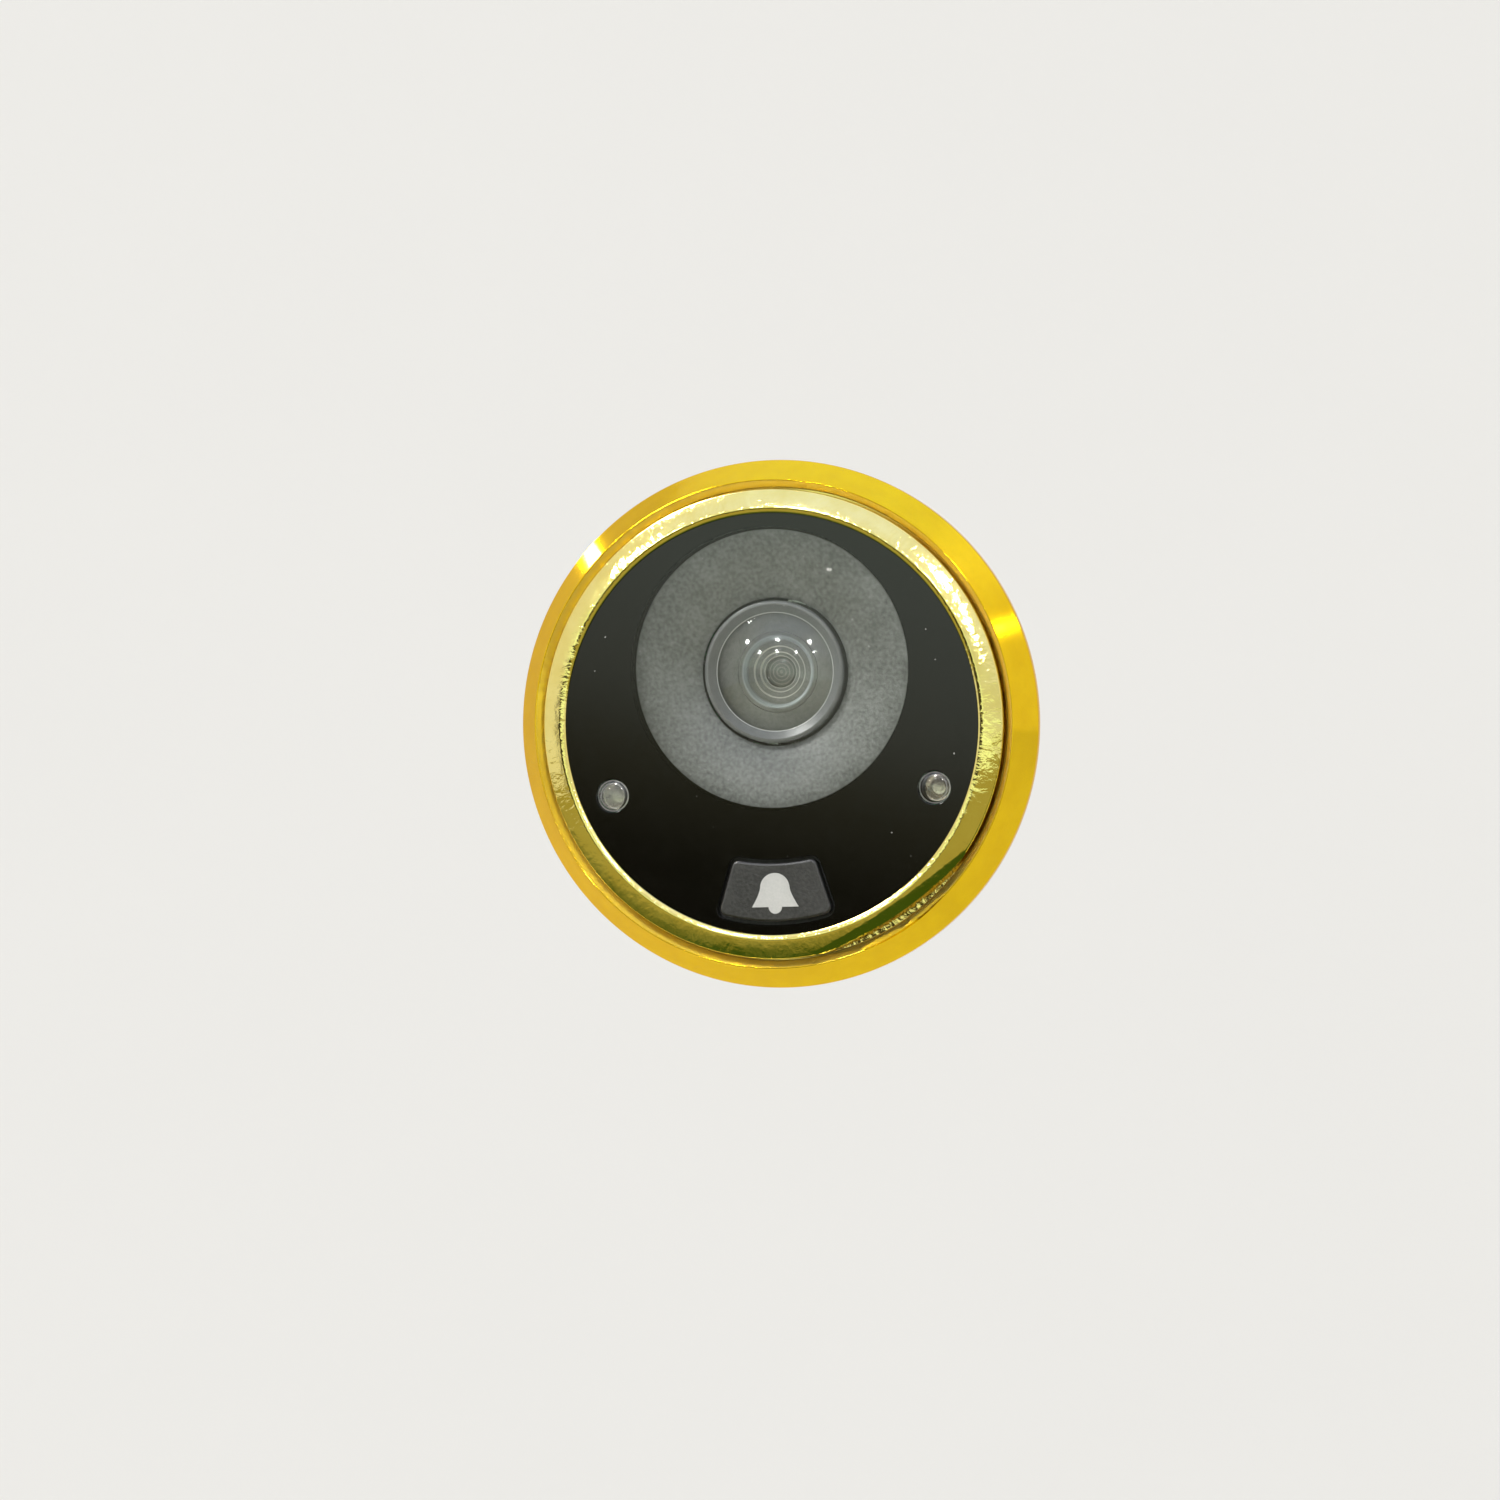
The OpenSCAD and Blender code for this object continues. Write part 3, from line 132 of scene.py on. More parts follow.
# Panel and its round window
PANEL_BEVEL = 0.04
PANEL_LIFT = 0.02
LENS_AT = middle("lens_ring")
WINDOW_OVER_LENS = 0.31
WINDOW_FRAME = 1.56
WINDOW_UP = LENS_AT[1] + WINDOW_OVER_LENS
WINDOW_R = VIEW_R - WINDOW_FRAME - WINDOW_UP
PRINT_MARGIN = 0.25
SPECK_AT = (6.2, 15.0)

# Surround of the lens
SHROUD_R = radius("lens_shroud")
SHROUD_T = 0.8
SHROUD_RIM_W = 0.6
SHROUD_DEPTH = 1.65
SHROUD_LENS_GAP = 0.3
FILM_GAP = 0.01
FOOT_R = 0.8
FOOT_INSET = 1.2
FOOT_ANGLES = (90, 230, 310)

# Lens
LENS_R = radius("lens_ring")
Z_RING = front("lens_ring")
RING_T = 0.41
RING_EDGE_R = 0.3
RING_CREST_W = 0.1
RING_STEP_H = 0.1
RING_SEAT_H = 0.3
GLASS_DROP = 0.6
GLASS_SIDE_H = 0.12
GLASS_STEP_H = 0.22
GLASS_GAP = 0.04
GLASS_LIFT = 0.02
Z_GLASS_TIP = front("front_glass")
Z_GLASS_SEAT = back("front_glass")
GLASS_EDGE_R = radius("front_glass")
GLASS_R = 5.8
GLASS_CURVE = 12.0
HOLLOW_CURVE = 4.2
HOLLOW_R = 3.5
MOUTH_W = 0.3
MOUTH_H = 0.6
BAFFLE_IN = 0.8
BAFFLE_H = 0.25
BAFFLE_RADII = (2.56, 1.97, 1.57)
BAFFLE_END_R = 2.75
BAFFLE_EDGE_R = 0.05
STOP_R = 0.95

# Lamp and light sensor
LAMP_DOMES = ("ir_led_dome", "light_sensor_dome")
LAMP_R = 1.58
LAMP_CROWN = 0.3
LAMP_HOLE_R = 1.66
LAMP_FOOT_H = 0.9
LEGS_L = 4.1
LEGS_W = 0.5
LEGS_T = 0.2
CUP_R = 1.1
CUP_GAP = 0.04
MIRROR_LOW_R = 0.5
MIRROR_HIGH_R = 0.99
MIRROR_DEPTH = 0.55
CHIP_W = 0.5
CHIP_T = 0.2

# Button
Z_BUTTON = front("bell_button")
BUTTON_FROM_BEZEL = 1.3
BUTTON_FROM_WINDOW = 5.44
BUTTON_LOW_R = VIEW_R - BUTTON_FROM_BEZEL
BUTTON_HIGH_R = WINDOW_R + BUTTON_FROM_WINDOW
BUTTON_HALF_ANGLE = 17.2
BUTTON_CORNER = 0.7
BUTTON_BEVEL = 0.28
BUTTON_GAP = 0.36
BUTTON_RIM_W = 0.5
BUTTON_RIM_T = 0.7
POCKET_W = 4.2
POCKET_ROOF_T = 1.22

# Foam ring
FOAM_HOLE_R = 16.5

# The photograph's frame and view
PHOTO_W = 1500
SENSOR_W = 36.0
PHOTO_SCALE = 10.17
VIEW_DISTANCE = 600.0
VIEW_YAW = 12.65
VIEW_ROLL = 1.57
VIEW_TARGET = (0.0, -Z_FACE * MM, 0.0)
AXIS_PIXEL = (770.6, 723.9)

# Stage in metres, and what the polished pieces mirror
FLOOR_Z = -0.16
FLOOR_FRONT_Y = -0.5
WALL_Y = 0.75
WALL_TOP_Z = 1.2
STAGE_BEND = 0.3
STAGE_HALF_W = 2.5
FLAG_Z = -0.13
FLAG_HALF_W = 0.7
FLAG_Y = (0.02, -0.75)
PAPER = (0.84, 0.83, 0.80)
ROOM_BANDS = [
    (0.0, (0.08, 0.07, 0.03)), (0.455, (0.03, 0.025, 0.01)), (0.48, (0.08, 0.07, 0.03)),
    (0.495, (0.36, 0.34, 0.19)), (0.508, (0.80, 0.83, 0.65)), (0.53, (1.1, 1.2, 1.0)),
    (0.56, (1.2, 1.45, 1.12)), (0.70, (0.78, 0.80, 0.70)), (0.85, (0.76, 0.78, 0.70)),
    (1.0, (0.92, 0.97, 1.15)),
]
ROOM_ABOVE = (1.0, 1.12, 1.7)
GLOW_WAY = (0.683, 0.194, 0.704)
# Two rows of lamps under the ceiling, in degrees aside from the camera's mirror image and up
NEAR_LAMPS = ((-28.5, 27.5), (4.5, 31.4), (39, 28.5))
FAR_LAMPS = ((-13, 18.8), (5, 19.6), (24, 18.8), (42, 18.0))
CEILING_LAMP_DISTANCE = 2.0
CEILING_LAMP_RADIANCE = 200


def world(x, y, z):
    """Point of the part's own frame, in metres, from millimetres as the visitor sees them."""
    return Vector((x * MM, -z * MM, y * MM))


def polar(r, degrees):
    """Point (x, y) at a distance and an angle."""
    return r * math.cos(math.radians(degrees)), r * math.sin(math.radians(degrees))


def arc(x, y, r, start, end, steps):
    """Points of an arc about (x, y), with its angles in degrees."""
    turns = [math.radians(start + (end - start) * i / steps) for i in range(steps + 1)]
    return [(x + r * math.cos(a), y + r * math.sin(a)) for a in turns]


def circle(r, steps):
    """Points of a circle about the origin."""
    return arc(0, 0, r, 0, 360, steps)[:-1]


def rectangle(w, h):
    """Corners of a rectangle about the origin."""
    return [(-w / 2, -h / 2), (w / 2, -h / 2), (w / 2, h / 2), (-w / 2, h / 2)]


def quarter(steps):
    """Angles from 0 to 90 degrees, in radians."""
    return [math.radians(90 * i / steps) for i in range(steps + 1)]


def rounded(corners, steps=5):
    """Closed outline through corners (x, y, r), each corner turned into an arc of radius r."""
    outline = []
    for i, (x, y, r) in enumerate(corners):
        here = Vector((x, y))
        if r == 0:
            outline.append((x, y))
            continue
        before = (Vector(corners[i - 1][:2]) - here).normalized()
        after = (Vector(corners[(i + 1) % len(corners)][:2]) - here).normalized()
        half = before.angle(after) / 2
        hub = here + (before + after).normalized() * (r / math.sin(half))
        first = here + before * (r / math.tan(half)) - hub
        last = here + after * (r / math.tan(half)) - hub
        start = math.atan2(first.y, first.x)
        turn = math.remainder(math.atan2(last.y, last.x) - start, math.tau)
        outline += arc(hub.x, hub.y, r, math.degrees(start), math.degrees(start + turn), steps)
    return outline


def new_object(name, bm):
    """Object of this mesh, with its faces turned outwards."""
    bmesh.ops.remove_doubles(bm, verts=bm.verts, dist=1e-8)
    bmesh.ops.recalc_face_normals(bm, faces=bm.faces)
    mesh = bpy.data.meshes.new(name)
    bm.to_mesh(mesh)
    bm.free()
    made = bpy.data.objects.new(name, mesh)
    bpy.context.collection.objects.link(made)
    return made


def add_loops(bm, loops, closed):
    """Joins loops of points by faces, and the last loop to the first if closed."""
    rows = [[bm.verts.new(p) for p in loop] for loop in loops]
    pairs = list(zip(rows, rows[1:]))
    if closed:
        pairs.append((rows[-1], rows[0]))
    for low, high in pairs:
        count = len(low)
        for i in range(count):
            j = (i + 1) % count
            bm.faces.new((low[i], low[j], high[j], high[i]))
    return rows


def add_stack(bm, loops):
    """Joins loops of points by faces and closes both ends with a flat face."""
    rows = add_loops(bm, loops, closed=False)
    bm.faces.new(rows[0])
    bm.faces.new(rows[-1])


def add_turned(bm, outline, at, steps):
    """Turns a closed outline (r, z) about the axis at a place (x, y)."""
    angles = [math.tau * i / steps for i in range(steps)]
    loops = [[world(at[0] + r * math.cos(a), at[1] + r * math.sin(a), z) for a in angles]
             for r, z in outline]
    add_loops(bm, loops, closed=True)
    # A point on the axis leaves faces with no area behind.
    bmesh.ops.remove_doubles(bm, verts=bm.verts, dist=1e-8)
    bmesh.ops.dissolve_degenerate(bm, edges=bm.edges, dist=1e-9)


def add_prism(bm, outline, levels, at=(0, 0)):
    """Straight prism of an outline (x, y) between two levels."""
    add_stack(bm, [[world(at[0] + x, at[1] + y, z) for x, y in outline] for z in levels])


def turned(name, outline, at=(0, 0), steps=TURN_STEPS):
    """Object of a closed outline (r, z) turned about the axis at a place (x, y)."""
    bm = bmesh.new()
    add_turned(bm, outline, at, steps)
    return new_object(name, bm)


def applied(made):
    """Puts the result of the modifiers into the mesh."""
    shown = made.evaluated_get(bpy.context.evaluated_depsgraph_get())
    mesh = bpy.data.meshes.new_from_object(shown)
    made.modifiers.clear()
    made.data = mesh


def cut(made, *cutters):
    """Takes the cutters off a piece and deletes them."""
    for cutter in cutters:
        boolean = made.modifiers.new("cut", "BOOLEAN")
        boolean.object = cutter
        boolean.operation = "DIFFERENCE"
        boolean.solver = "EXACT"
    applied(made)
    for cutter in cutters:
        bpy.data.objects.remove(cutter)


def smooth(made, angle):
    """Smooth shading with sharp edges kept, and broad faces kept flat beside small rounds."""
    made.data.shade_smooth()
    made.data.set_sharp_from_angle(angle=math.radians(angle))
    weighted = made.modifiers.new("weighted normals", "WEIGHTED_NORMAL")
    weighted.keep_sharp = True
    weighted.weight = 80


def finish_piece(made, body, slot, *nodes, angle=PIECE_SHARP_ANGLE):
    """Finishes a piece: its shading, the body it rides on, its finish and the nodes it stands for."""
    smooth(made, angle)
    made.data.materials.clear()
    made.data.materials.append(FINISH[slot])
    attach(made, body)
    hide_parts(*nodes)


class Graph:
    """Node tree of one material, with short calls for the nodes that the finishes share."""

    def __init__(self, tree):
        self.tree = tree
        tree.nodes.clear()

    def add(self, kind, inputs=(), **settings):
        node = self.tree.nodes.new(kind)
        for name, value in settings.items():
            setattr(node, name, value)
        for key, value in dict(inputs).items():
            if isinstance(value, bpy.types.NodeSocket):
                self.tree.links.new(value, node.inputs[key])
            else:
                node.inputs[key].default_value = value
        return node

    def maths(self, operation, first, second=0.0, third=0.0):
        return self.add("ShaderNodeMath", {0: first, 1: second, 2: third}, operation=operation).outputs[0]

    def parts(self, vector):
        """The three numbers of a vector."""
        return tuple(self.add("ShaderNodeSeparateXYZ", {0: vector}).outputs)

    def place(self):
        """Place on the part in millimetres."""
        metres = self.add("ShaderNodeTexCoord").outputs["Object"]
        scaled = self.add("ShaderNodeVectorMath", {0: metres, 1: (1 / MM,) * 3}, operation="MULTIPLY")
        return scaled.outputs[0]

    def round_place(self, along, across):
        """Place about the part's axis: length along the ring, and radius with depth, each scaled."""
        here = self.place()
        x, depth, y = self.parts(here)
        angle = self.maths("ARCTAN2", y, x)
        # The two coordinates of the unit circle join up where the angle jumps.
        along_x = self.maths("MULTIPLY", self.maths("COSINE", angle), along * BEZEL_R)
        along_y = self.maths("MULTIPLY", self.maths("SINE", angle), along * BEZEL_R)
        deep = self.maths("MULTIPLY", depth, across)
        rise = self.maths("MULTIPLY_ADD", self.from_axis(here, 0.0, 0.0), across, deep)
        return self.add("ShaderNodeCombineXYZ", {0: along_x, 1: along_y, 2: rise}).outputs[0]

    def from_axis(self, place, x, y):
        """Distance from an axis that stands on the door at (x, y)."""
        parts = self.parts(place)
        aside = self.maths("POWER", self.maths("SUBTRACT", parts[0], x), 2.0)
        above = self.maths("POWER", self.maths("SUBTRACT", parts[2], y), 2.0)
        return self.maths("SQRT", self.maths("ADD", aside, above))

    def line_at(self, off, r, core, edge, share=1.0):
        """Line round an axis at radius r: in full as far as core from its middle, and gone at edge."""
        aside = self.maths("ABSOLUTE", self.maths("SUBTRACT", off, r))
        return self.between(aside, core, edge, share, 0.0)

    def noise(self, vector, scale, detail=3.0, rough=0.55, distortion=0.0):
        return self.add("ShaderNodeTexNoise", {"Vector": vector, "Scale": scale, "Detail": detail,
                                               "Roughness": rough, "Distortion": distortion}).outputs["Fac"]

    def between(self, value, low, high, to_low=0.0, to_high=1.0):
        return self.add("ShaderNodeMapRange", {"Value": value, "From Min": low, "From Max": high,
                                               "To Min": to_low, "To Max": to_high}).outputs[0]

    def colours(self, share, first, last):
        """Blend of two colours, each a socket or three numbers."""
        ends = [end if isinstance(end, bpy.types.NodeSocket) else (*end, 1) for end in (first, last)]
        return self.add("ShaderNodeMix", {"Factor": share, "A": ends[0], "B": ends[1]},
                        data_type="RGBA").outputs["Result"]

    def smear(self, place, low, high):
        """Roughness of a wiped surface, from low to high."""
        return self.between(self.noise(place, 0.5, 5.0, 0.7, 0.8), 0.4, 0.75, low, high)

    def sheen(self, ior):
        """Share of light that a thin clear sheet mirrors where light comes in, none where it goes out."""
        straight = ((ior - 1) / (ior + 1)) ** 2
        slant = self.add("ShaderNodeLayerWeight", {"Blend": 0.5}).outputs["Facing"]
        share = self.maths("MULTIPLY_ADD", self.maths("POWER", slant, 5.0), 1 - straight, straight)
        going_out = self.add("ShaderNodeNewGeometry").outputs["Backfacing"]
        return self.maths("MULTIPLY", share, self.maths("SUBTRACT", 1.0, going_out))

    def bump(self, height, distance_mm, normal=None):
        inputs = {"Height": height, "Distance": distance_mm * MM, "Strength": 1.0}
        if normal:
            inputs["Normal"] = normal
        return self.add("ShaderNodeBump", inputs).outputs[0]

    def principled(self, **inputs):
        named = {name.replace("_", " "): value for name, value in inputs.items()}
        return self.add("ShaderNodeBsdfPrincipled", named).outputs[0]

    def through(self, colour):
        """Light that goes straight through and takes this colour."""
        return self.add("ShaderNodeBsdfTransparent", {"Color": (*colour, 1)}).outputs[0]

    def clear_sheet(self, colour, ior, rough, shine_colour=(1, 1, 1)):
        """What lies behind, seen straight through under a shine."""
        shine = self.add("ShaderNodeBsdfGlossy", {"Color": (*shine_colour, 1), "Roughness": rough})
        return self.mixed(self.through(colour), shine.outputs[0], self.sheen(ior))

    def mixed(self, shader, other, share):
        return self.add("ShaderNodeMixShader", {0: share, 1: shader, 2: other}).outputs[0]

    def mirrored_ray(self, rays):
        """Whether the scene is seen in a mirror or through glass."""
        return self.maths("MAXIMUM", rays["Is Glossy Ray"], rays["Is Transmission Ray"])

    def show(self, shader):
        self.add("ShaderNodeOutputMaterial", {"Surface": shader})


def graph(name):
    """New material and the graph of its nodes."""
    made = bpy.data.materials.new(name.replace("_", " "))
    made.use_nodes = True
    return made, Graph(made.node_tree)


def polished_gold(name, colour, shade, rough, grain_mm, ripple_mm, ripple_along, ripple_across, painted_crest_highlight=None):
    """Gold plating: a deeper tone in patches, polishing marks round the ring, a rippled shine and, if given,
    a painted highlight on the slope within the crest.
    """
    made, g = graph(name)
    here = g.place()
    patches = g.noise(here, 0.35, 4.0)
    marks = g.noise(g.round_place(0.12, 16.0), 1.0, 4.0, 0.7)
    ripples = g.noise(g.round_place(ripple_along, ripple_across), 1.0, 3.0, 0.5, 0.6)
    dirt = g.between(g.noise(here, 2.6, 5.0, 0.7), 0.56, 0.75)
    tone = g.colours(g.between(patches, 0.35, 0.7), colour, shade)
    polish = g.between(marks, 0.3, 0.75, rough * 0.7, rough * 1.5)
    polish = g.maths("MULTIPLY_ADD", dirt, 0.05, polish)
    metallic = 1.0
    if painted_crest_highlight:
        # Painted highlight: the slope within the crest takes a paler tone and a softer, less metallic shine.
        painted_highlight_share = g.between(g.from_axis(here, 0.0, 0.0), SLOPE_R - 0.02, SLOPE_R - 0.10)
        tone = g.colours(painted_highlight_share, tone, painted_crest_highlight)
        metallic = g.between(painted_highlight_share, 0.0, 1.0, 1.0, 0.72)
    normal = g.bump(ripples, ripple_mm)
    normal = g.bump(marks, 0.0008, normal)
    normal = g.bump(g.noise(here, 2.4, 2.0), grain_mm, normal)
    g.show(g.principled(Base_Color=tone, Metallic=metallic, Roughness=polish, Normal=normal,
                        Specular_Tint=(0.9, 0.62, 0.12, 1), Coat_Weight=0.3, Coat_Roughness=0.05))
    return made


def metal(name, colour, shade, rough):
    """Plated or stamped metal with a fine grain."""
    made, g = graph(name)
    here = g.place()
    fine = g.noise(here, 4.0, 4.0, 0.65)
    tone = g.colours(g.between(g.noise(here, 0.8), 0.35, 0.65), colour, shade)
    polish = g.between(fine, 0.3, 0.7, rough * 0.75, rough * 1.3)
    g.show(g.principled(Base_Color=tone, Metallic=1.0, Roughness=polish, Normal=g.bump(fine, 0.0005)))
    return made


def plastic(name, colour, shade, rough, grain, bump_mm, specular=0.5):
    """Moulded plastic, rubber or paint: fine grain, and slow changes of tone and gloss."""
    made, g = graph(name)
    here = g.place()
    fine = g.noise(here, grain, 2.0, 0.5)
    slow = g.noise(here, 0.25, 3.0)
    speckle = g.maths("MULTIPLY_ADD", fine, 0.6, g.maths("MULTIPLY", slow, 0.4))
    tone = g.colours(g.between(speckle, 0.35, 0.65), colour, shade)
    gloss = g.between(slow, 0.3, 0.7, rough * 0.9, rough * 1.1)
    g.show(g.principled(Base_Color=tone, Roughness=gloss, Normal=g.bump(fine, bump_mm),
                        Specular_IOR_Level=specular))
    return made


def lamp_resin(name, node, colour, haze, shade_shift):
    """Clear resin of a lamp: a little haze, pale rings painted as highlights, and painted shade on the side
    towards the panel's middle.
    """
    made, g = graph(name)
    here = g.place()
    x, y = middle(node)
    off = g.from_axis(here, x, y)
    clear = g.principled(Base_Color=(*colour, 1), Transmission_Weight=1.0, IOR=1.54,
                         Roughness=g.smear(here, 0.0, 0.02), Normal=g.bump(g.noise(here, 0.12, 1.0), 0.002))
    # Painted highlights: pale rings at the dome's rim and over the cup's edge.
    rings = g.maths("MAXIMUM", g.line_at(off, LAMP_R - 0.07, 0.03, 0.07, share=0.6),
                    g.line_at(off, CUP_R + 0.12, 0.03, 0.07, share=0.3))
    milk = g.colours(g.noise(here, 2.0), (0.55, 0.56, 0.52), (0.85, 0.86, 0.83))
    cloud = g.principled(Base_Color=milk, Roughness=0.4)
    shader = g.mixed(clear, cloud, g.maths("ADD", rings, haze))
    # Painted shade: a dark half-moon between two circles stands for the shadow beside the dome.
    beyond = g.from_axis(here, x + math.copysign(shade_shift, x), y)
    painted_shade_share = g.maths("MULTIPLY", g.maths("GREATER_THAN", beyond, LAMP_R),
                       g.maths("LESS_THAN", off, LAMP_R - 0.13))
    near_black = g.colours(g.noise(here, 3.0), (0.003, 0.003, 0.003), (0.008, 0.008, 0.007))
    dark = g.principled(Base_Color=near_black, Roughness=0.3)
    shader = g.mixed(shader, dark, g.maths("MULTIPLY", painted_shade_share, 0.9))
    # Light reaches the cup as if the resin were a thin sheet.
    shadow = g.add("ShaderNodeLightPath").outputs["Is Shadow Ray"]
    g.show(g.mixed(shader, g.through(colour), shadow))
    return made


def pane(name, colour, ior, rough, shine_colour=(1, 1, 1), haze=0.0):
    """Thin clear sheet with faint smears and, where it has haze, faint rings."""
    made, g = graph(name)
    here = g.place()
    shader = g.clear_sheet(colour, ior, g.smear(here, rough, rough + 0.04), shine_colour)
    if haze:
        rings = g.maths("SINE", g.maths("MULTIPLY", g.from_axis(here, *LENS_AT), 17.0))
        tone = g.colours(g.between(rings, 0.3, 0.9), (0.40, 0.41, 0.38), (0.66, 0.65, 0.58))
        shader = g.mixed(shader, g.principled(Base_Color=tone, Roughness=0.4), haze)
    g.show(shader)
    return made


def printed_pane(name):
    """Clear panel whose black print leaves the round window open, with smears and specks of dust."""
    made, g = graph(name)
    here = g.place()
    ior = 1.49
    smear = g.smear(here, 0.03, 0.07)
    window = g.clear_sheet((0.985, 0.99, 0.985), ior, smear)
    near_black = g.colours(g.noise(here, 0.3), (0.0015, 0.0015, 0.0015), (0.003, 0.003, 0.0025))
    black = g.principled(Base_Color=near_black, Roughness=smear, IOR=ior)
    printed = g.maths("GREATER_THAN", g.from_axis(here, 0.0, WINDOW_UP), WINDOW_R + PRINT_MARGIN)
    shader = g.mixed(window, black, printed)
    cells = g.add("ShaderNodeTexVoronoi", {"Vector": here, "Scale": 0.5}).outputs
    specks = g.between(cells["Distance"], 0.02, 0.05, 0.7, 0.0)
    speck = g.between(g.from_axis(here, *SPECK_AT), 0.12, 0.2, 1.0, 0.0)
    dust = g.colours(g.noise(here, 4.0), (0.75, 0.75, 0.72), (0.5, 0.5, 0.48))
    mote = g.principled(Base_Color=dust, Roughness=0.9)
    g.show(g.mixed(shader, mote, g.maths("MAXIMUM", specks, speck)))
    return made


def lens_tube(name):
    """Grey anodised inside of the lens, with pale lines painted as highlights on the step edges and a pale
    band painted as a highlight at the mouth.
    """
    made, g = graph(name)
    here = g.place()
    off = g.from_axis(here, *LENS_AT)
    fine = g.noise(here, 4.0)
    tone = g.colours(g.between(fine, 0.35, 0.65), (0.17, 0.175, 0.168), (0.22, 0.225, 0.215))
    # Painted highlights: pale lines at the step edges and a pale bluish band at the mouth.
    edges = 0.0
    for r in (*BAFFLE_RADII, STOP_R):
        edges = g.maths("MAXIMUM", edges, g.line_at(off, r, 0.03, 0.09))
    tone = g.colours(g.line_at(off, HOLLOW_R - 0.08, 0.1, 0.3), tone, (0.44, 0.49, 0.51))
    tone = g.colours(edges, tone, (0.60, 0.60, 0.55))
    g.show(g.principled(Base_Color=tone, Roughness=g.between(fine, 0.3, 0.7, 0.32, 0.45),
                        Normal=g.bump(fine, 0.0008)))
    return made


def lead_frame(name):
    """Silver cup of a lamp, with dull dark legs."""
    made, g = graph(name)
    here = g.place()
    fine = g.noise(here, 4.0, 4.0, 0.65)
    silver = g.colours(g.between(fine, 0.35, 0.65), (0.52, 0.48, 0.41), (0.36, 0.32, 0.26))
    off = g.maths("MINIMUM", *(g.from_axis(here, *middle(node)) for node in LAMP_DOMES))
    legs = g.between(off, CUP_R + 0.02, CUP_R + 0.08)
    tone = g.colours(legs, silver, (0.012, 0.012, 0.012))
    g.show(g.principled(Base_Color=tone, Metallic=g.maths("SUBTRACT", 1.0, legs),
                        Roughness=g.between(fine, 0.3, 0.7, 0.17, 0.28), Normal=g.bump(fine, 0.0005)))
    return made


def turned_ring(name):
    """Satin grey ring of the lens, with a pale line painted as a highlight at the glass's edge."""
    made, g = graph(name)
    here = g.place()
    fine = g.noise(here, 2.0, 2.0)
    tone = g.colours(g.between(fine, 0.35, 0.65), (0.145, 0.152, 0.154), (0.165, 0.172, 0.174))
    # Painted highlight: a pale line round the glass's edge.
    edge = g.line_at(g.from_axis(here, *LENS_AT), GLASS_R + 0.06, 0.03, 0.06)
    tone = g.colours(edge, tone, (0.60, 0.62, 0.60))
    g.show(g.principled(Base_Color=tone, Roughness=g.between(fine, 0.3, 0.7, 0.30, 0.36),
                        Normal=g.bump(fine, 0.001)))
    return made


def circuit_board(name):
    """Green solder mask with paler copper tracks under it."""
    made, g = graph(name)
    here = g.place()
    tracks = g.add("ShaderNodeTexVoronoi", {"Vector": here, "Scale": 0.55}, distance="MANHATTAN",
                   feature="DISTANCE_TO_EDGE").outputs["Distance"]
    copper = g.between(tracks, 0.05, 0.08, 1.0, 0.0)
    tone = g.colours(copper, (0.008, 0.075, 0.028), (0.022, 0.16, 0.06))
    gloss = g.between(g.noise(here, 3.0), 0.3, 0.7, 0.25, 0.38)
    g.show(g.principled(Base_Color=tone, Roughness=gloss, Normal=g.bump(copper, 0.01)))
    return made


# Two tones, roughness, grain per millimetre, grain depth in millimetres and, if not 0.5, specular level
PLASTICS = {
    "foam": ((0.040, 0.040, 0.038), (0.060, 0.060, 0.057), 0.9, 3.0, 0.012, 0.2),
    "black_film": ((0.002, 0.002, 0.002), (0.004, 0.004, 0.003), 0.6, 3.0, 0.001, 0.0),
    "adhesive": ((0.03, 0.03, 0.03), (0.045, 0.045, 0.043), 0.8, 6.0, 0.003, 0.2),
    "grey_moulding": ((0.090, 0.097, 0.091), (0.200, 0.212, 0.202), 0.40, 2.6, 0.045),
    "button_plastic": ((0.016, 0.016, 0.016), (0.038, 0.037, 0.036), 0.42, 3.2, 0.028),
    "white_print": ((0.55, 0.56, 0.54), (0.62, 0.62, 0.60), 0.55, 5.0, 0.001),
    "black_plastic": ((0.012, 0.012, 0.013), (0.02, 0.02, 0.021), 0.5, 5.0, 0.002),
    "ivory_plastic": ((0.72, 0.68, 0.58), (0.77, 0.73, 0.64), 0.42, 3.0, 0.001),
    "chip_black": ((0.016, 0.016, 0.017), (0.028, 0.028, 0.029), 0.6, 6.0, 0.001),
    "sensor_die": ((0.04, 0.045, 0.065), (0.07, 0.06, 0.09), 0.25, 8.0, 0.0003),
    "housing_black": ((0.014, 0.014, 0.015), (0.022, 0.022, 0.023), 0.48, 4.0, 0.005),
    "seal_rubber": ((0.025, 0.025, 0.025), (0.04, 0.04, 0.039), 0.75, 4.0, 0.002, 0.3),
}
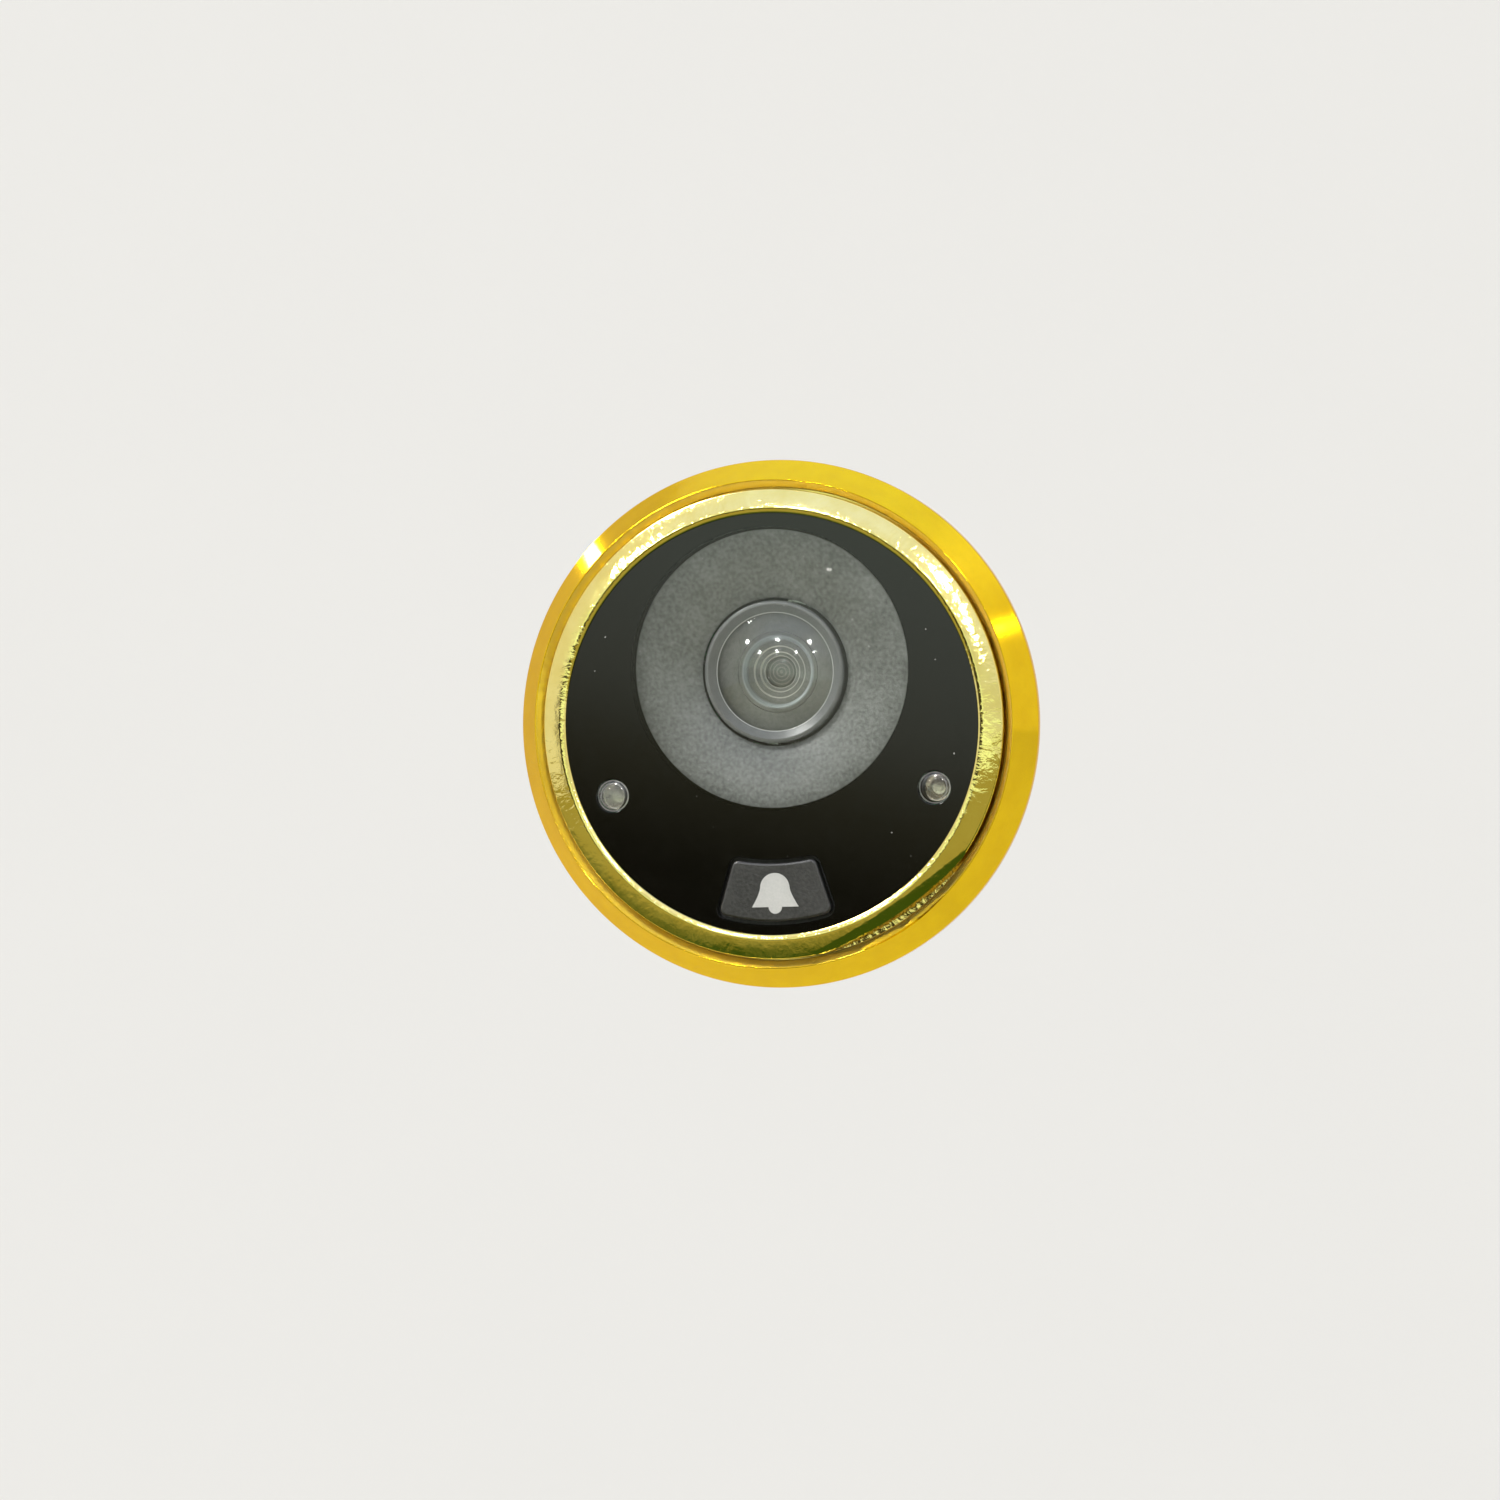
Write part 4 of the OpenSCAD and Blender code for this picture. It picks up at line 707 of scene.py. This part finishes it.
# Two tones and roughness
METALS = {
    "spring_steel": ((0.56, 0.56, 0.57), (0.48, 0.48, 0.49), 0.28),
    "screw_steel": ((0.52, 0.53, 0.54), (0.42, 0.42, 0.42), 0.25),
    "gold_pins": ((0.80, 0.58, 0.20), (0.70, 0.48, 0.14), 0.22),
    "insert_brass": ((0.74, 0.53, 0.20), (0.62, 0.42, 0.14), 0.25),
}
FINISH = {
    **{slot: plastic(slot, *values) for slot, values in PLASTICS.items()},
    **{slot: metal(slot, *values) for slot, values in METALS.items()},
    "base_gold": polished_gold("base_gold", (0.86, 0.57, 0.004), (0.81, 0.52, 0.003), rough=0.10,
                               grain_mm=0.0004, ripple_mm=0.006, ripple_along=0.05, ripple_across=0.3,
                               painted_crest_highlight=(1.0, 0.85, 0.24)),
    "bezel_gold": polished_gold("bezel_gold", (0.88, 0.76, 0.27), (0.82, 0.68, 0.20), rough=0.08,
                                grain_mm=0.014, ripple_mm=0.06, ripple_along=1.0, ripple_across=0.5),
    "clear_panel": printed_pane("clear_panel"),
    "board_green": circuit_board("board_green"),
    "clear_resin": lamp_resin("clear_resin", "ir_led_dome", (0.97, 0.97, 0.95), haze=0.03, shade_shift=0.6),
    "tinted_resin": lamp_resin("tinted_resin", "light_sensor_dome", (0.90, 0.92, 0.89), haze=0.12, shade_shift=0.4),
    "lead_frame": lead_frame("lead_frame"),
    "ring_grey": turned_ring("ring_grey"),
    "lens_glass": pane("lens_glass", (0.985, 0.99, 0.985), ior=1.5, rough=0.07),
    "barrel_black": lens_tube("barrel_black"),
    "coated_glass": pane("coated_glass", (0.97, 0.985, 0.98), ior=1.45, rough=0.05,
                         shine_colour=(0.75, 0.9, 1.0), haze=0.5),
    "filter_glass": pane("filter_glass", (0.62, 0.84, 0.80), ior=1.45, rough=0.03,
                         shine_colour=(1.0, 0.7, 0.8)),
}


def polish_base():
    """Ring on the door, with the scoop in front of the bezel's notch."""
    outline = rounded([(FLANGE_R, Z_DOOR_SIDE, 0.05), (BASE_R, Z_DOOR_SIDE, 0.15),
                       (BASE_R, Z_DOOR_SIDE + BASE_SIDE_H, 0.25), (SLOPE_R, Z_SLOPE, 0.07),
                       (WELL_R, Z_SLOPE - INNER_H, 0.05), (WELL_R, Z_SEAT, 0), (FLANGE_R, Z_SEAT, 0)])
    ring = turned("polished_base", outline)
    z_floor = Z_SLOPE - SCOOP_DEPTH
    z_top = Z_SLOPE + CUT_OVER
    scoop = turned("scoop", [(0, z_floor), (SCOOP_R - SCOOP_DEPTH, z_floor), (SCOOP_R + CUT_OVER, z_top),
                             (0, z_top)], polar(SLOPE_R + SCOOP_REACH - SCOOP_R, NOTCH_ANGLE))
    cut(ring, scoop)
    finish_piece(ring, "root", "base_gold", "base_ring")


def polish_bezel():
    """Bezel: sloping face with a rounded edge, rounded lip and the pry notch."""
    lip = [(LIP_R - (LIP_R - VIEW_R) * math.cos(a), Z_LIP - LIP_DROP * (1 - math.sin(a)))
           for a in reversed(quarter(12))]
    edge = arc(EDGE_MID_R, Z_EDGE, BEZEL_EDGE_R, 0, 90 - math.degrees(BEZEL_SLOPE), 12)
    # The face swells a little between its edge and its lip.
    start, end = Vector(edge[-1]), Vector(lip[0])
    out = Vector((start.y - end.y, end.x - start.x)).normalized() * -BEZEL_SWELL
    swell = [tuple(start.lerp(end, t) + out * (4 * t * (1 - t))) for t in [i / 12 for i in range(1, 12)]]
    grip_r = PANEL_R + GRIP_GAP
    z_grip = Z_PANEL_BACK - GRIP_DEPTH
    outline = [(SKIRT_R, Z_SEAT), (BEZEL_R, Z_SEAT)] + edge + swell + lip
    outline += [(VIEW_R, Z_FACE), (grip_r, Z_FACE), (grip_r, z_grip), (SKIRT_R, z_grip)]
    ring = turned("polished_bezel", outline)
    # The notch's wall stands upright at first and leans inwards by 45 degrees above.
    z_lean = Z_EDGE - BEZEL_EDGE_R / 3
    rise = Z_LIP - z_lean + CUT_OVER / 2
    far_r = NOTCH_R + BEZEL_R
    wall = [(NOTCH_R, z_lean - NOTCH_H), (far_r, z_lean - NOTCH_H), (far_r, z_lean + rise),
            (NOTCH_R - rise, z_lean + rise), (NOTCH_R, z_lean)]
    notch = turned("notch", wall, polar(BEZEL_R - NOTCH_DEPTH - NOTCH_R, NOTCH_ANGLE), steps=720)
    cut(ring, notch)
    finish_piece(ring, "root", "bezel_gold", "bezel_ring")


def button_outline(grow=0.0, steps=40):
    """Outline of the button, grown outwards: an arc about the window, two slanted sides, an arc about the
    panel, and four rounded corners."""
    half = math.radians(BUTTON_HALF_ANGLE)
    low_r = BUTTON_LOW_R + grow
    high_r = BUTTON_HIGH_R - grow
    corner = max(BUTTON_CORNER + grow, 0.1)

    # The slanted side is the line through the middle of the panel, moved outwards by grow.
    along = Vector((math.sin(half), -math.cos(half)))
    normal = Vector((math.cos(half), math.sin(half)))
    # Hub of the lower corner: corner inside the lower arc and inside the side.
    offset = grow - corner
    reach = math.sqrt((low_r - corner) ** 2 - offset ** 2)
    low_hub = along * reach + normal * offset
    # Hub of the upper corner: corner outside the upper arc about the window and inside the side.
    window = Vector((0, WINDOW_UP))
    start = normal * offset - window
    b = start.dot(along)
    c = start.length_squared - (high_r + corner) ** 2
    high_hub = normal * offset + along * (-b + math.sqrt(b * b - c))
    low_angle = math.degrees(math.atan2(low_hub.y, low_hub.x))
    high_angle = math.degrees(math.atan2(high_hub.y - WINDOW_UP, high_hub.x))
    right = arc(low_hub.x, low_hub.y, corner, low_angle, BUTTON_HALF_ANGLE, 10)
    right += arc(high_hub.x, high_hub.y, corner, BUTTON_HALF_ANGLE, high_angle + 180, 10)
    top = arc(0, WINDOW_UP, high_r, high_angle, -180 - high_angle, steps)
    left = [(-x, y) for x, y in reversed(right)]
    bottom = arc(0, 0, low_r, -180 - low_angle, low_angle, steps)
    return right + top[1:-1] + left + bottom[1:-1]


def button_block(name, levels):
    """Block of the button's outline, grown by its own amount at each level (grow, z)."""
    bm = bmesh.new()
    add_stack(bm, [[world(x, y, z) for x, y in button_outline(grow)] for grow, z in levels])
    return new_object(name, bm)


def make_button():
    """Button cap with a rounded edge and a rim behind the panel."""
    z_back = back("bell_button")
    z_rim = z_back + BUTTON_RIM_T
    edge = [(-BUTTON_BEVEL * (1 - math.cos(a)), Z_BUTTON - BUTTON_BEVEL * (1 - math.sin(a)))
            for a in quarter(8)]
    cap = button_block("button_cap", [(BUTTON_RIM_W, z_back), (BUTTON_RIM_W, z_rim), (0.0, z_rim)] + edge)
    # The pocket in the back leaves room for the switch when the button goes in.
    bm = bmesh.new()
    add_prism(bm, rectangle(POCKET_W, POCKET_W), (z_back - CUT_OVER, Z_BUTTON - POCKET_ROOF_T),
              middle("switch_base"))
    cut(cap, new_object("pocket", bm))
    finish_piece(cap, "button", "button_plastic", "bell_button", angle=40)


def make_panel():
    """Clear panel with softened holes for the lamps and the button."""
    # The panel stands a hair off the film behind it, so that the two faces never share a plane.
    z_back = Z_PANEL_BACK + PANEL_LIFT
    z_low = z_back - CUT_OVER
    z_high = Z_FACE + CUT_OVER
    panel = turned("glossy_panel", [(0, z_back), (PANEL_R, z_back), (PANEL_R, Z_FACE), (0, Z_FACE)])
    wide_r = LAMP_HOLE_R + PANEL_BEVEL
    flare = [(0, z_low), (LAMP_HOLE_R, z_low), (LAMP_HOLE_R, Z_FACE - PANEL_BEVEL), (wide_r, Z_FACE),
             (wide_r, z_high), (0, z_high)]
    cutters = [turned("hole", flare, middle(node), 128) for node in LAMP_DOMES]
    wide = BUTTON_GAP + PANEL_BEVEL
    cutters.append(button_block("hole", [(BUTTON_GAP, z_low), (BUTTON_GAP, Z_FACE - PANEL_BEVEL),
                                         (wide, Z_FACE), (wide, z_high)]))
    cut(panel, *cutters)
    finish_piece(panel, "root", "clear_panel", "face_panel")


def make_shroud():
    """Flared surround of the lens on its three feet."""
    z_top = Z_FILM - FILM_GAP
    flare_r = SHROUD_R - SHROUD_RIM_W
    run = flare_r - LENS_R - SHROUD_LENS_GAP
    curve = (run ** 2 + SHROUD_DEPTH ** 2) / (2 * SHROUD_DEPTH)
    turn = math.degrees(math.asin(run / curve))
    outline = [(SHROUD_R, Z_FILM - SHROUD_T), (SHROUD_R, z_top)]
    outline += arc(flare_r, z_top - curve, curve, 90, 90 + turn, 48)
    outline += arc(flare_r, z_top - curve, curve - SHROUD_T, 90 + turn, 90, 48)
    shroud = turned("flared_surround", outline, LENS_AT)
    bm = bmesh.new()
    bm.from_mesh(shroud.data)
    for angle in FOOT_ANGLES:
        x, y = polar(SHROUD_R - FOOT_INSET, angle)
        add_prism(bm, circle(FOOT_R, 48), (back("lens_shroud"), Z_FILM - SHROUD_T),
                  (LENS_AT[0] + x, LENS_AT[1] + y))
    bm.to_mesh(shroud.data)
    bm.free()
    finish_piece(shroud, "root", "grey_moulding", "lens_shroud")


def make_lens():
    """Ring around the lens and the bulging front glass."""
    z_glass = Z_RING - GLASS_DROP
    z_inside = z_glass - RING_SEAT_H
    head_r = LENS_R - RING_T
    edge_r = GLASS_EDGE_R + GLASS_GAP
    corner = LENS_R - RING_EDGE_R
    outline = [(head_r, back("lens_ring")), (LENS_R, back("lens_ring"))]
    outline += arc(corner, Z_RING - RING_EDGE_R, RING_EDGE_R, 0, 90, 10)
    outline += [(corner - RING_CREST_W, Z_RING), (GLASS_R + GLASS_GAP, z_glass),
                (edge_r, z_glass - RING_STEP_H), (edge_r, z_inside), (head_r, z_inside)]
    finish_piece(turned("lens_trim", outline, LENS_AT), "root", "ring_grey", "lens_ring")
    spread = math.degrees(math.asin(GLASS_R / GLASS_CURVE))
    hollow = math.degrees(math.asin(HOLLOW_R / HOLLOW_CURVE))
    # The glass stands a hair off its seat, so that the two faces never share a plane.
    z_seat = Z_GLASS_SEAT + GLASS_LIFT
    z_hollow = z_seat - math.sqrt(HOLLOW_CURVE ** 2 - HOLLOW_R ** 2)
    outline = arc(0, Z_GLASS_TIP - GLASS_CURVE, GLASS_CURVE, 90, 90 - spread, 40)
    outline += [(GLASS_R, z_glass - GLASS_SIDE_H), (GLASS_EDGE_R, z_glass - GLASS_STEP_H),
                (GLASS_EDGE_R, z_seat)]
    outline += arc(0, z_hollow, HOLLOW_CURVE, 90 - hollow, 90, 40)
    finish_piece(turned("front_lens", outline, LENS_AT, 256), "root", "lens_glass", "front_glass")


def make_baffle():
    """Stepped tube behind the front glass, with softened edges."""
    tube_r = radius("lens_spacer")
    z_end = back("lens_spacer")
    inner_r = HOLLOW_R - MOUTH_W
    soft = BAFFLE_EDGE_R
    corners = [(tube_r, z_end, 0), (tube_r, Z_GLASS_SEAT, 0), (HOLLOW_R, Z_GLASS_SEAT, soft),
               (inner_r, Z_GLASS_SEAT - MOUTH_H, soft)]
    z = Z_GLASS_SEAT - BAFFLE_IN
    for wide, small in zip((inner_r, *BAFFLE_RADII), BAFFLE_RADII):
        corners += [(wide, z, 0), (small, z, soft)]
        z -= BAFFLE_H
    corners += [(BAFFLE_RADII[-1], z, soft), (BAFFLE_END_R, z - BAFFLE_H / 2, 0), (BAFFLE_END_R, z_end, 0)]
    finish_piece(turned("stepped_tube", rounded(corners), LENS_AT), "root", "barrel_black", "lens_spacer")


def make_lamp(dome_node, cup_node, name, resin):
    """Clear dome, and the metal cup with its chip and legs inside."""
    at = middle(dome_node)
    z_board = back(dome_node)
    z_roof = z_board + LAMP_FOOT_H
    hollow_r = CUP_R + CUP_GAP
    curve = (LAMP_R ** 2 + LAMP_CROWN ** 2) / (2 * LAMP_CROWN)
    spread = math.degrees(math.asin(LAMP_R / curve))
    outline = arc(0, front(dome_node) - curve, curve, 90, 90 - spread, 16)
    outline += [(LAMP_R, z_board), (hollow_r, z_board), (hollow_r, z_roof), (0, z_roof)]
    finish_piece(turned(name + "_dome", outline, at, 128), "root", resin, dome_node)
    z_mouth = z_roof - CUP_GAP
    z_floor = z_mouth - MIRROR_DEPTH
    bm = bmesh.new()
    add_turned(bm, [(0, z_board), (CUP_R, z_board), (CUP_R, z_mouth), (MIRROR_HIGH_R, z_mouth),
                    (MIRROR_LOW_R, z_floor), (0, z_floor)], at, 96)
    add_prism(bm, rectangle(CHIP_W, CHIP_W), (z_floor, z_floor + CHIP_T), at)
    add_prism(bm, rectangle(LEGS_L, LEGS_W), (z_board, z_board + LEGS_T), at)
    finish_piece(new_object(name + "_cup", bm), "root", "lead_frame", cup_node)


def make_gasket():
    """Foam ring with soft edges."""
    r = radius("door_gasket")
    z = front("door_gasket")
    outline = rounded([(FOAM_HOLE_R, 0, 0.15), (r, 0, 0.2), (r, z, 0.2), (FOAM_HOLE_R, z, 0.15)])
    finish_piece(turned("foam_ring", outline), "root", "foam", "door_gasket")


def smooth_by_angle():
    """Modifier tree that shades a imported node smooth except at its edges."""
    tree = bpy.data.node_groups.new("smooth by angle", "GeometryNodeTree")
    for way in ("INPUT", "OUTPUT"):
        tree.interface.new_socket("Geometry", in_out=way, socket_type="NodeSocketGeometry")
    g = Graph(tree)
    start = g.add("NodeGroupInput").outputs[0]
    faces = g.add("GeometryNodeSetShadeSmooth", {"Geometry": start, "Shade Smooth": True}, domain="FACE")
    angle = g.add("GeometryNodeInputMeshEdgeAngle").outputs["Unsigned Angle"]
    sharp = g.add("FunctionNodeCompare", {0: angle, 1: math.radians(NODE_SHARP_ANGLE)},
                  operation="GREATER_THAN")
    edges = g.add("GeometryNodeSetShadeSmooth", {"Geometry": faces.outputs[0], "Selection": sharp.outputs[0],
                                                 "Shade Smooth": False}, domain="EDGE")
    g.add("NodeGroupOutput", {0: edges.outputs[0]})
    return tree


def dress_nodes():
    """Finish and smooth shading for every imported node."""
    tree = smooth_by_angle()
    for row in frame["record"]["subparts"]:
        node = frame["nodes"][row["node"]]
        node.data.materials.clear()
        node.data.materials.append(FINISH[row["material_slot"]])
        node.modifiers.new("smooth by angle", "NODES").node_group = tree


def softbox(name, place_m, size, radiance, tint):
    """Area light of an even brightness, aimed at the part."""
    light = bpy.data.lights.new(name, "AREA")
    light.shape = "RECTANGLE"
    light.size, light.size_y = size
    light.energy = radiance * math.pi * size[0] * size[1]
    light.color = tint
    made = bpy.data.objects.new(name, light)
    made.location = place_m
    made.rotation_euler = (-made.location).to_track_quat("-Z", "Y").to_euler()
    made.visible_camera = False
    bpy.context.collection.objects.link(made)


def glint_lamp(name, way, distance, size, radiance):
    """Small round lamp that shows only as a glint on polished pieces."""
    light = bpy.data.lights.new(name, "POINT")
    light.shadow_soft_size = size
    light.energy = radiance * 4 * (math.pi * size) ** 2
    made = bpy.data.objects.new(name, light)
    made.location = Vector(way).normalized() * distance
    made.visible_camera = False
    made.visible_diffuse = False
    bpy.context.collection.objects.link(made)


def in_front(aside, up):
    """Direction from the part to the visitor's side, by angles to the right and up."""
    side = math.radians(aside)
    rise = math.radians(up)
    return math.sin(side) * math.cos(rise), -math.cos(side) * math.cos(rise), math.sin(rise)


def pale_paper(name):
    """Even pale tone that still takes the part's shadow."""
    made, g = graph(name)
    tone = g.colours(g.noise(g.place(), 0.02), PAPER, [c * 0.985 for c in PAPER])
    lit = g.add("ShaderNodeBsdfDiffuse", {"Color": tone}).outputs[0]
    glow = g.add("ShaderNodeEmission", {"Color": tone}).outputs[0]
    rays = g.add("ShaderNodeLightPath").outputs
    straight = g.maths("MULTIPLY", rays["Is Camera Ray"], 0.9)
    share = g.maths("MAXIMUM", straight, g.maths("MULTIPLY", g.mirrored_ray(rays), 0.75))
    g.show(g.mixed(lit, glow, share))
    return made


def olive_card(name):
    """Glow that goes from green under the part to dull gold in front of it."""
    made, g = graph(name)
    here = g.place()
    cloud = g.maths("MULTIPLY_ADD", g.noise(here, 0.03, 4.0), 120.0, g.parts(here)[1])
    tone = g.colours(g.between(cloud, -10, -120), (0.05, 0.09, 0.012), (0.42, 0.37, 0.12))
    g.show(g.add("ShaderNodeEmission", {"Color": tone}).outputs[0])
    return made


def make_stage():
    """Seamless sheet: a floor that curves up into a backdrop far behind the part."""
    outline = [(FLOOR_FRONT_Y, FLOOR_Z), (WALL_Y - STAGE_BEND, FLOOR_Z)]
    outline += arc(WALL_Y - STAGE_BEND, FLOOR_Z + STAGE_BEND, STAGE_BEND, -90, 0, 24)[1:]
    outline.append((WALL_Y, WALL_TOP_Z))
    bm = bmesh.new()
    rows = [[bm.verts.new((x, y, z)) for x in (-STAGE_HALF_W, STAGE_HALF_W)] for y, z in outline]
    for low, high in zip(rows, rows[1:]):
        bm.faces.new((low[0], low[1], high[1], high[0]))
    sheet = new_object("floor_and_backdrop", bm)
    sheet.data.shade_smooth()
    sheet.data.materials.append(pale_paper("pale paper"))


def make_flag():
    """Card below the part that only the polished pieces mirror."""
    bm = bmesh.new()
    near, far = FLAG_Y
    corners = [(-FLAG_HALF_W, near), (FLAG_HALF_W, near), (FLAG_HALF_W, far), (-FLAG_HALF_W, far)]
    bm.faces.new([bm.verts.new((x, y, FLAG_Z)) for x, y in corners])
    flag = new_object("flag_card", bm)
    flag.data.materials.append(olive_card("olive card"))
    flag.visible_camera = False
    flag.visible_diffuse = False
    flag.visible_shadow = False
    flag.visible_transmission = False


def room_ahead(g, x, z):
    """Tone of the room in front of the part: dark low down, pale above, bluish high up."""
    # The mirror image of the camera lies a little to the left; the tone climbs to the right of it.
    beside = g.maths("ADD", x, math.sin(math.radians(VIEW_YAW)))
    height = g.maths("MULTIPLY_ADD", beside, 0.25, z)
    ramp = g.add("ShaderNodeValToRGB", {0: g.between(height, -0.5, 0.5)})
    bands = ramp.color_ramp.elements
    while len(bands) < len(ROOM_BANDS):
        bands.new(0.5)
    for band, (at, colour) in zip(bands, ROOM_BANDS):
        band.position = at
        band.color = (*colour, 1)
    return g.colours(g.between(z, 0.5, 0.72), ramp.outputs[0], ROOM_ABOVE)


def room_beside(g, way, z):
    """Tone of the room on its other sides, with a faint glow at the upper right."""
    sides = g.colours(g.between(z, 0.5, 0.9), (0.90, 0.88, 0.83), (0.98, 1.10, 1.40))
    near = g.add("ShaderNodeVectorMath", {0: way, 1: GLOW_WAY}, operation="DOT_PRODUCT").outputs["Value"]
    glow = g.maths("MULTIPLY", g.maths("POWER", g.between(near, 0.95, 1.0), 2.0), 0.14)
    return g.colours(glow, sides, (2.4, 2.4, 2.4))


def make_world():
    """Room that polished pieces mirror, a soft fill for matt ones, and pale paper behind it all."""
    scene_world = bpy.data.worlds.new("room")
    bpy.context.scene.world = scene_world
    scene_world.use_nodes = True
    g = Graph(scene_world.node_tree)
    way = g.add("ShaderNodeTexCoord").outputs["Generated"]
    x, y, z = g.parts(way)
    room = g.colours(g.between(y, -0.58, -0.74), room_beside(g, way, z), room_ahead(g, x, z))
    fill = g.colours(g.between(z, -0.6, 0.6), (1.05, 1.05, 1.02), (0.32, 0.32, 0.31))
    room, fill, pale = [g.add("ShaderNodeBackground", {"Color": tone}).outputs[0]
                        for tone in (room, fill, (*PAPER, 1))]
    rays = g.add("ShaderNodeLightPath").outputs
    lit = g.mixed(fill, room, g.mirrored_ray(rays))
    g.add("ShaderNodeOutputWorld", {"Surface": g.mixed(lit, pale, rays["Is Camera Ray"])})


def make_lights():
    """Key softbox, a lamp for each end of the ring's shine, and the ceiling lamps that the lens mirrors."""
    softbox("key softbox", (-0.62, -0.33, 0.88), (0.40, 0.30), 38.0, (1.0, 0.99, 0.96))
    glint_lamp("left rim lamp", (-0.718, 0.502, 0.481), 1.0, 0.035, 40)
    glint_lamp("right rim lamp", (0.890, 0.165, 0.426), 1.2, 0.03, 40)
    for row, size, places in (("near", 0.05, NEAR_LAMPS), ("far", 0.035, FAR_LAMPS)):
        for i, (aside, up) in enumerate(places):
            glint_lamp(f"{row} lamp {i}", in_front(aside - VIEW_YAW, up), CEILING_LAMP_DISTANCE, size,
                       CEILING_LAMP_RADIANCE)


def make_camera():
    """Camera at the photograph's place: yawed to the right of the part, and slightly rolled."""
    yaw = math.radians(VIEW_YAW)
    behind = Vector((math.sin(yaw), -math.cos(yaw), 0))
    roll = Matrix.Rotation(-math.radians(VIEW_ROLL), 3, behind)
    right = roll @ Vector((math.cos(yaw), math.sin(yaw), 0))
    up = roll @ Vector((0, 0, 1))
    left_by = (AXIS_PIXEL[0] - PHOTO_W / 2) / PHOTO_SCALE
    down_by = (PHOTO_W / 2 - AXIS_PIXEL[1]) / PHOTO_SCALE
    where = Vector(VIEW_TARGET) + (behind * VIEW_DISTANCE - right * left_by - up * down_by) * MM
    data = bpy.data.cameras.new("photo view")
    data.sensor_width = SENSOR_W
    data.lens = PHOTO_SCALE * VIEW_DISTANCE * SENSOR_W / PHOTO_W
    data.clip_start = 0.01
    made = bpy.data.objects.new("photo view", data)
    turn = Matrix((right, up, behind)).transposed().to_4x4()
    made.matrix_world = Matrix.Translation(where) @ turn
    bpy.context.collection.objects.link(made)
    bpy.context.scene.camera = made


dress_nodes()
polish_base()
polish_bezel()
make_panel()
make_shroud()
make_lens()
make_baffle()
make_lamp("ir_led_dome", "ir_led_cup", "infrared_lamp", "clear_resin")
make_lamp("light_sensor_dome", "light_sensor_cup", "twilight_sensor", "tinted_resin")
make_button()
make_gasket()
make_stage()
make_flag()
make_world()
make_lights()
make_camera()
bpy.context.scene.view_settings.view_transform = "Standard"
